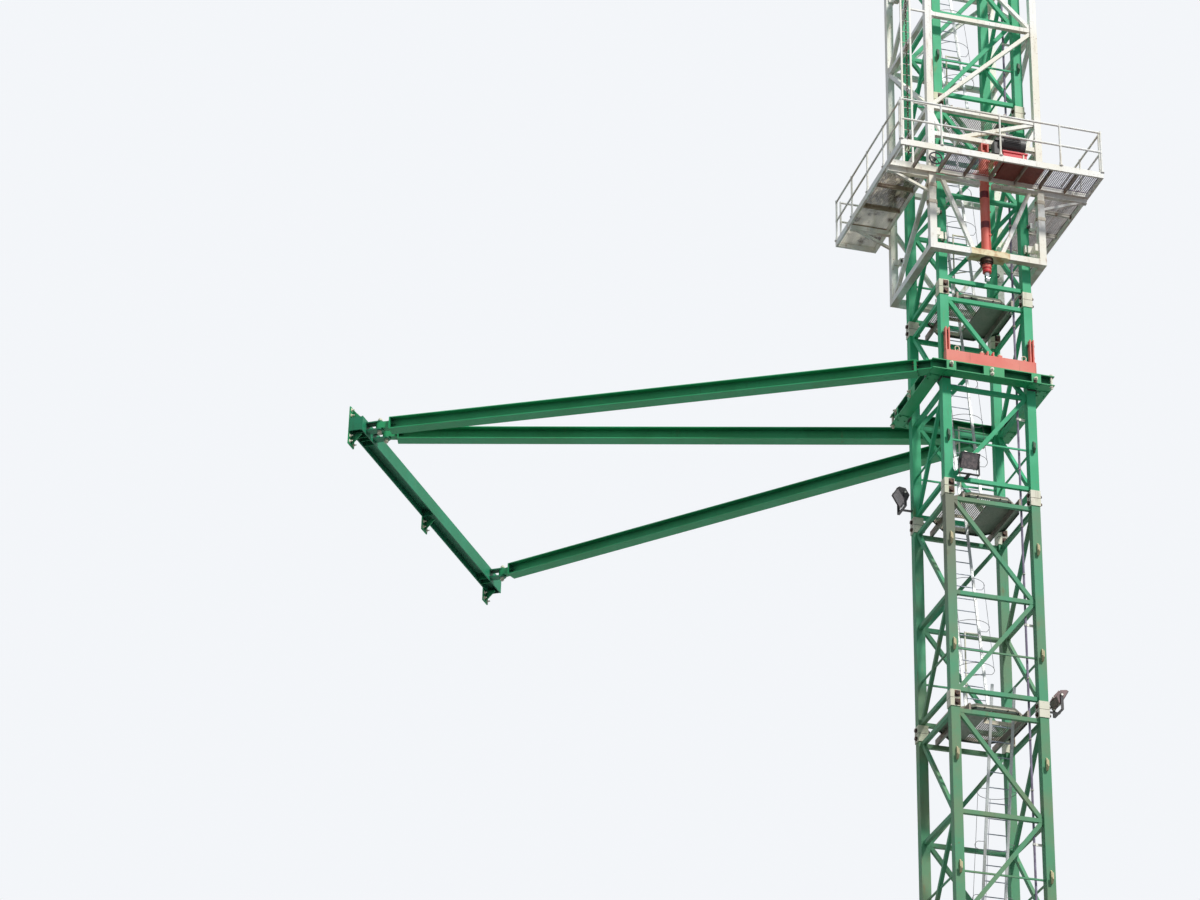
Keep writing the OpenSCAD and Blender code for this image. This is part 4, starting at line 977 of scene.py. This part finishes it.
def ram_trim():
    """Guide ring under the saddle, bands on the barrel, oil ports, the feed pipe and the gland nut.
    The bands' dark red is also a painted shadow of the braces on the barrel.
    """
    rings, bands, ports, gland = Shape(), Shape(), Shape(), Shape()
    ram = Vector((0, RAM_Y, 0))
    rings.stack(ram, UP, (15.70, 15.7995, 0.150, 24), (15.655, 15.70, 0.128, 24))
    for spot in circle(ram, 0.127, 8):
        rings.stack(spot, UP, (15.635, 15.658, 0.011, 6))
    # Dark red bands, also painted shadows of the braces.
    bands.stack(ram, UP, (16.60, 16.77, 0.1075, 28), (17.40, 17.57, 0.1075, 28))
    low_port, high_port = 15.96, 18.35
    for z in (low_port, high_port):
        ports.stack(ram + UP * z, (0.5, -0.866, 0), (0.095, 0.150, 0.030), (0.150, 0.180, 0.022, 6))
    pipe = ram + Vector((0.07, -0.10, 0))
    ports.stack(pipe, UP, (low_port + 0.01, high_port, 0.011, 10))
    for z in (16.4, 17.0, 17.7):
        ports.block(pipe + Vector((0, 0.005, z + 0.015)), (0.025, 0.020, 0.015))
    gland.stack(ram, UP, (15.458, 15.500, 0.099, 28), (15.54, 15.565, 0.099, 28))
    for spot in circle(ram, 0.076, 6):
        gland.stack(spot, UP, (15.443, 15.452, 0.010, 6))
    rings.build("ram_rings", "cage", "bolt_dark")
    bands.build("ram_bands", "cage", "ram_band")
    ports.build("ram_ports", "cage", "yoke_red")
    gland.build("ram_gland", "cage", "pack_red")


def pack_trim():
    """Lid, handles, fins, fan cover, terminal box, valve block and fittings of the power pack."""
    low, high = about_axis("power_pack")
    motor = Vector(((low.x + high.x) / 2, (low.y + high.y) / 2, 18.50))
    at_motor = moved(motor)
    red, black, metal = Shape(at_motor), Shape(at_motor), Shape(at_motor)
    motor_r, motor_half, tank = 0.19, 0.30, 0.28
    foot, front = low.z - motor.z, low.y - motor.y
    lid = foot + 0.27
    red.box((-tank - 0.02, front - 0.02, lid - 0.035), (tank + 0.02, 0.02 - front, lid + 0.006))
    red.box((-tank - 0.02, front - 0.02, foot + 0.03), (tank + 0.02, front - 0.0005, foot + 0.06))
    for x in (0.10 - tank, tank - 0.10):
        bow = arc((x, front + 0.05, lid + 0.03), 0.035, 180, 0, 12, v=UP)
        red.wire([bow[0] - UP * 0.03] + bow + [bow[-1] - UP * 0.03], 0.008)
    for i in range(24):
        a = math.radians(-40 + 260 * i / 23)
        out, side = Vector((0, math.cos(a), math.sin(a))), Vector((0, -math.sin(a), math.cos(a))) * 0.004
        root, tip = out * (motor_r - 0.002), out * (motor_r + 0.020)
        ring = [root - side, root + side, tip + side, tip - side]
        black.loft([[p + ACROSS * x for p in ring] for x in (0.08 - motor_half, motor_half - 0.14)])
    cover, rim = motor_half + 0.01, motor_half + 0.03
    black.stack((0, 0, 0), ACROSS, (cover - 0.13, cover, motor_r + 0.015, 32),
                (cover, rim, motor_r - 0.01, 32, motor_r - 0.05))
    black.box((-0.12, -0.08, motor_r - 0.03), (0.04, 0.08, motor_r + 0.09))
    black.box((-0.42, -0.10, -0.31), (0.001 - motor_half, 0.10, 0.03))
    red.box((-0.40, -0.13, 0.031), (-0.31, -0.02, 0.10))
    metal.stack((-0.22, -0.17, 0.17), BACK, (-0.03, 0.06, 0.05, 24))
    metal.stack((tank - 0.07, -front - 0.08, lid), UP, (0, 0.07, 0.045, 20), (0.07, 0.085, 0.036, 20))
    metal.box((tank - 0.10, front - 0.018, foot + 0.07), (tank - 0.07, front - 0.0005, foot + 0.22))
    valve = Vector((0.86 - motor.x, -0.10, DECK_TOP - 0.02 - motor.z))
    metal.block(valve + UP * 0.065, (0.07, 0.05, 0.065))
    red.stack(valve + UP * 0.09, ACROSS, (0.069, 0.12, 0.035, 10))
    red.build("pack_lid", "cage", "pack_red", bevel=0.002)
    black.build("pack_motor", "cage", "lamp_black")
    metal.build("pack_fittings", "cage", "pin_white")


# Floor, light and camera

def floor_piece():
    """Pale floor far below, which sends little light back up."""
    size, level = 900.0, -26.0
    mesh = bpy.data.meshes.new("floor")
    corners = [(-size, -size, level), (size, -size, level), (size, size, level), (-size, size, level)]
    mesh.from_pydata(corners, [], [(0, 1, 2, 3)])
    floor = placed("floor", mesh)
    ground = Surface("floor", roughness=0.9)
    ground.colour(ground.mix(ground.seen_rays(), (96, 96, 100), (226, 226, 224)))
    mesh.materials.append(LOOKS["floor"])


def sun_lamp():
    """One soft sun from the front right, high enough for the shadow under the front deck."""
    sun = bpy.data.lights.new("sun", "SUN")
    sun.energy = 3.3
    sun.angle = math.radians(5)
    sun.color = (1.0, 0.98, 0.94)
    placed("sun", sun).rotation_euler = (math.radians(42), 0, math.radians(30))


def sky():
    """Even pale background, with a bluish light that is stronger from above than from below."""
    world = bpy.data.worlds.new("sky")
    bpy.context.scene.world = world
    s = Nodes(world)
    seen = s.tree.nodes["Background"]
    s.feed(seen.inputs["Color"], (0.90, 0.92, 0.95, 1.0))
    soft = s.node("ShaderNodeBackground", {"Color": (0.80, 0.90, 1.0, 1.0)})
    parts = s.node("ShaderNodeSeparateXYZ")
    s.feed(parts.inputs["Vector"], s.node("ShaderNodeTexCoord").outputs["Generated"])
    rise = {"From Min": -0.6, "From Max": 0.8, "To Min": 0.16, "To Max": 0.62, "Value": parts.outputs["Z"]}
    s.feed(soft.inputs["Strength"], s.node("ShaderNodeMapRange", rise).outputs["Result"])
    mix = s.node("ShaderNodeMixShader")
    feeds = ("Fac", s.seen_rays()), (1, soft.outputs["Background"]), (2, seen.outputs["Background"])
    for socket, value in feeds:
        s.feed(mix.inputs[socket], value)
    s.feed(s.tree.nodes["World Output"].inputs["Surface"], mix.outputs["Shader"])


def photo_camera():
    """The photograph's view: from the ground far below, looking up, slightly rolled."""
    yaw, pitch, roll = 14.28, 28.24, 1.52
    data = bpy.data.cameras.new("photo_camera")
    data.sensor_width = 36.0
    data.lens = 102.72
    data.clip_end = 2000.0
    camera = placed("photo_camera", data)
    place = moved((-23.43, -61.53, -24.44))
    camera.matrix_world = place @ turned(-yaw) @ turned(90 + pitch, "X") @ turned(roll)
    bpy.context.scene.camera = camera


photo_camera()
coupling_bolts()
ladders()
ladder_guards()
grab_frames()
rest_platforms()
platform_trim()
cable_ties()
lamp_pieces()
collar_trim()
strut_trim()
wall_trim()
yoke_trim()
deck_gratings()
drip_trays()
cage_gussets()
post_clamps()
rail_fittings()
hoist_chain()
hand_wheel()
ram_trim()
pack_trim()
floor_piece()
sun_lamp()
sky()

bpy.context.scene.view_settings.view_transform = "Standard"
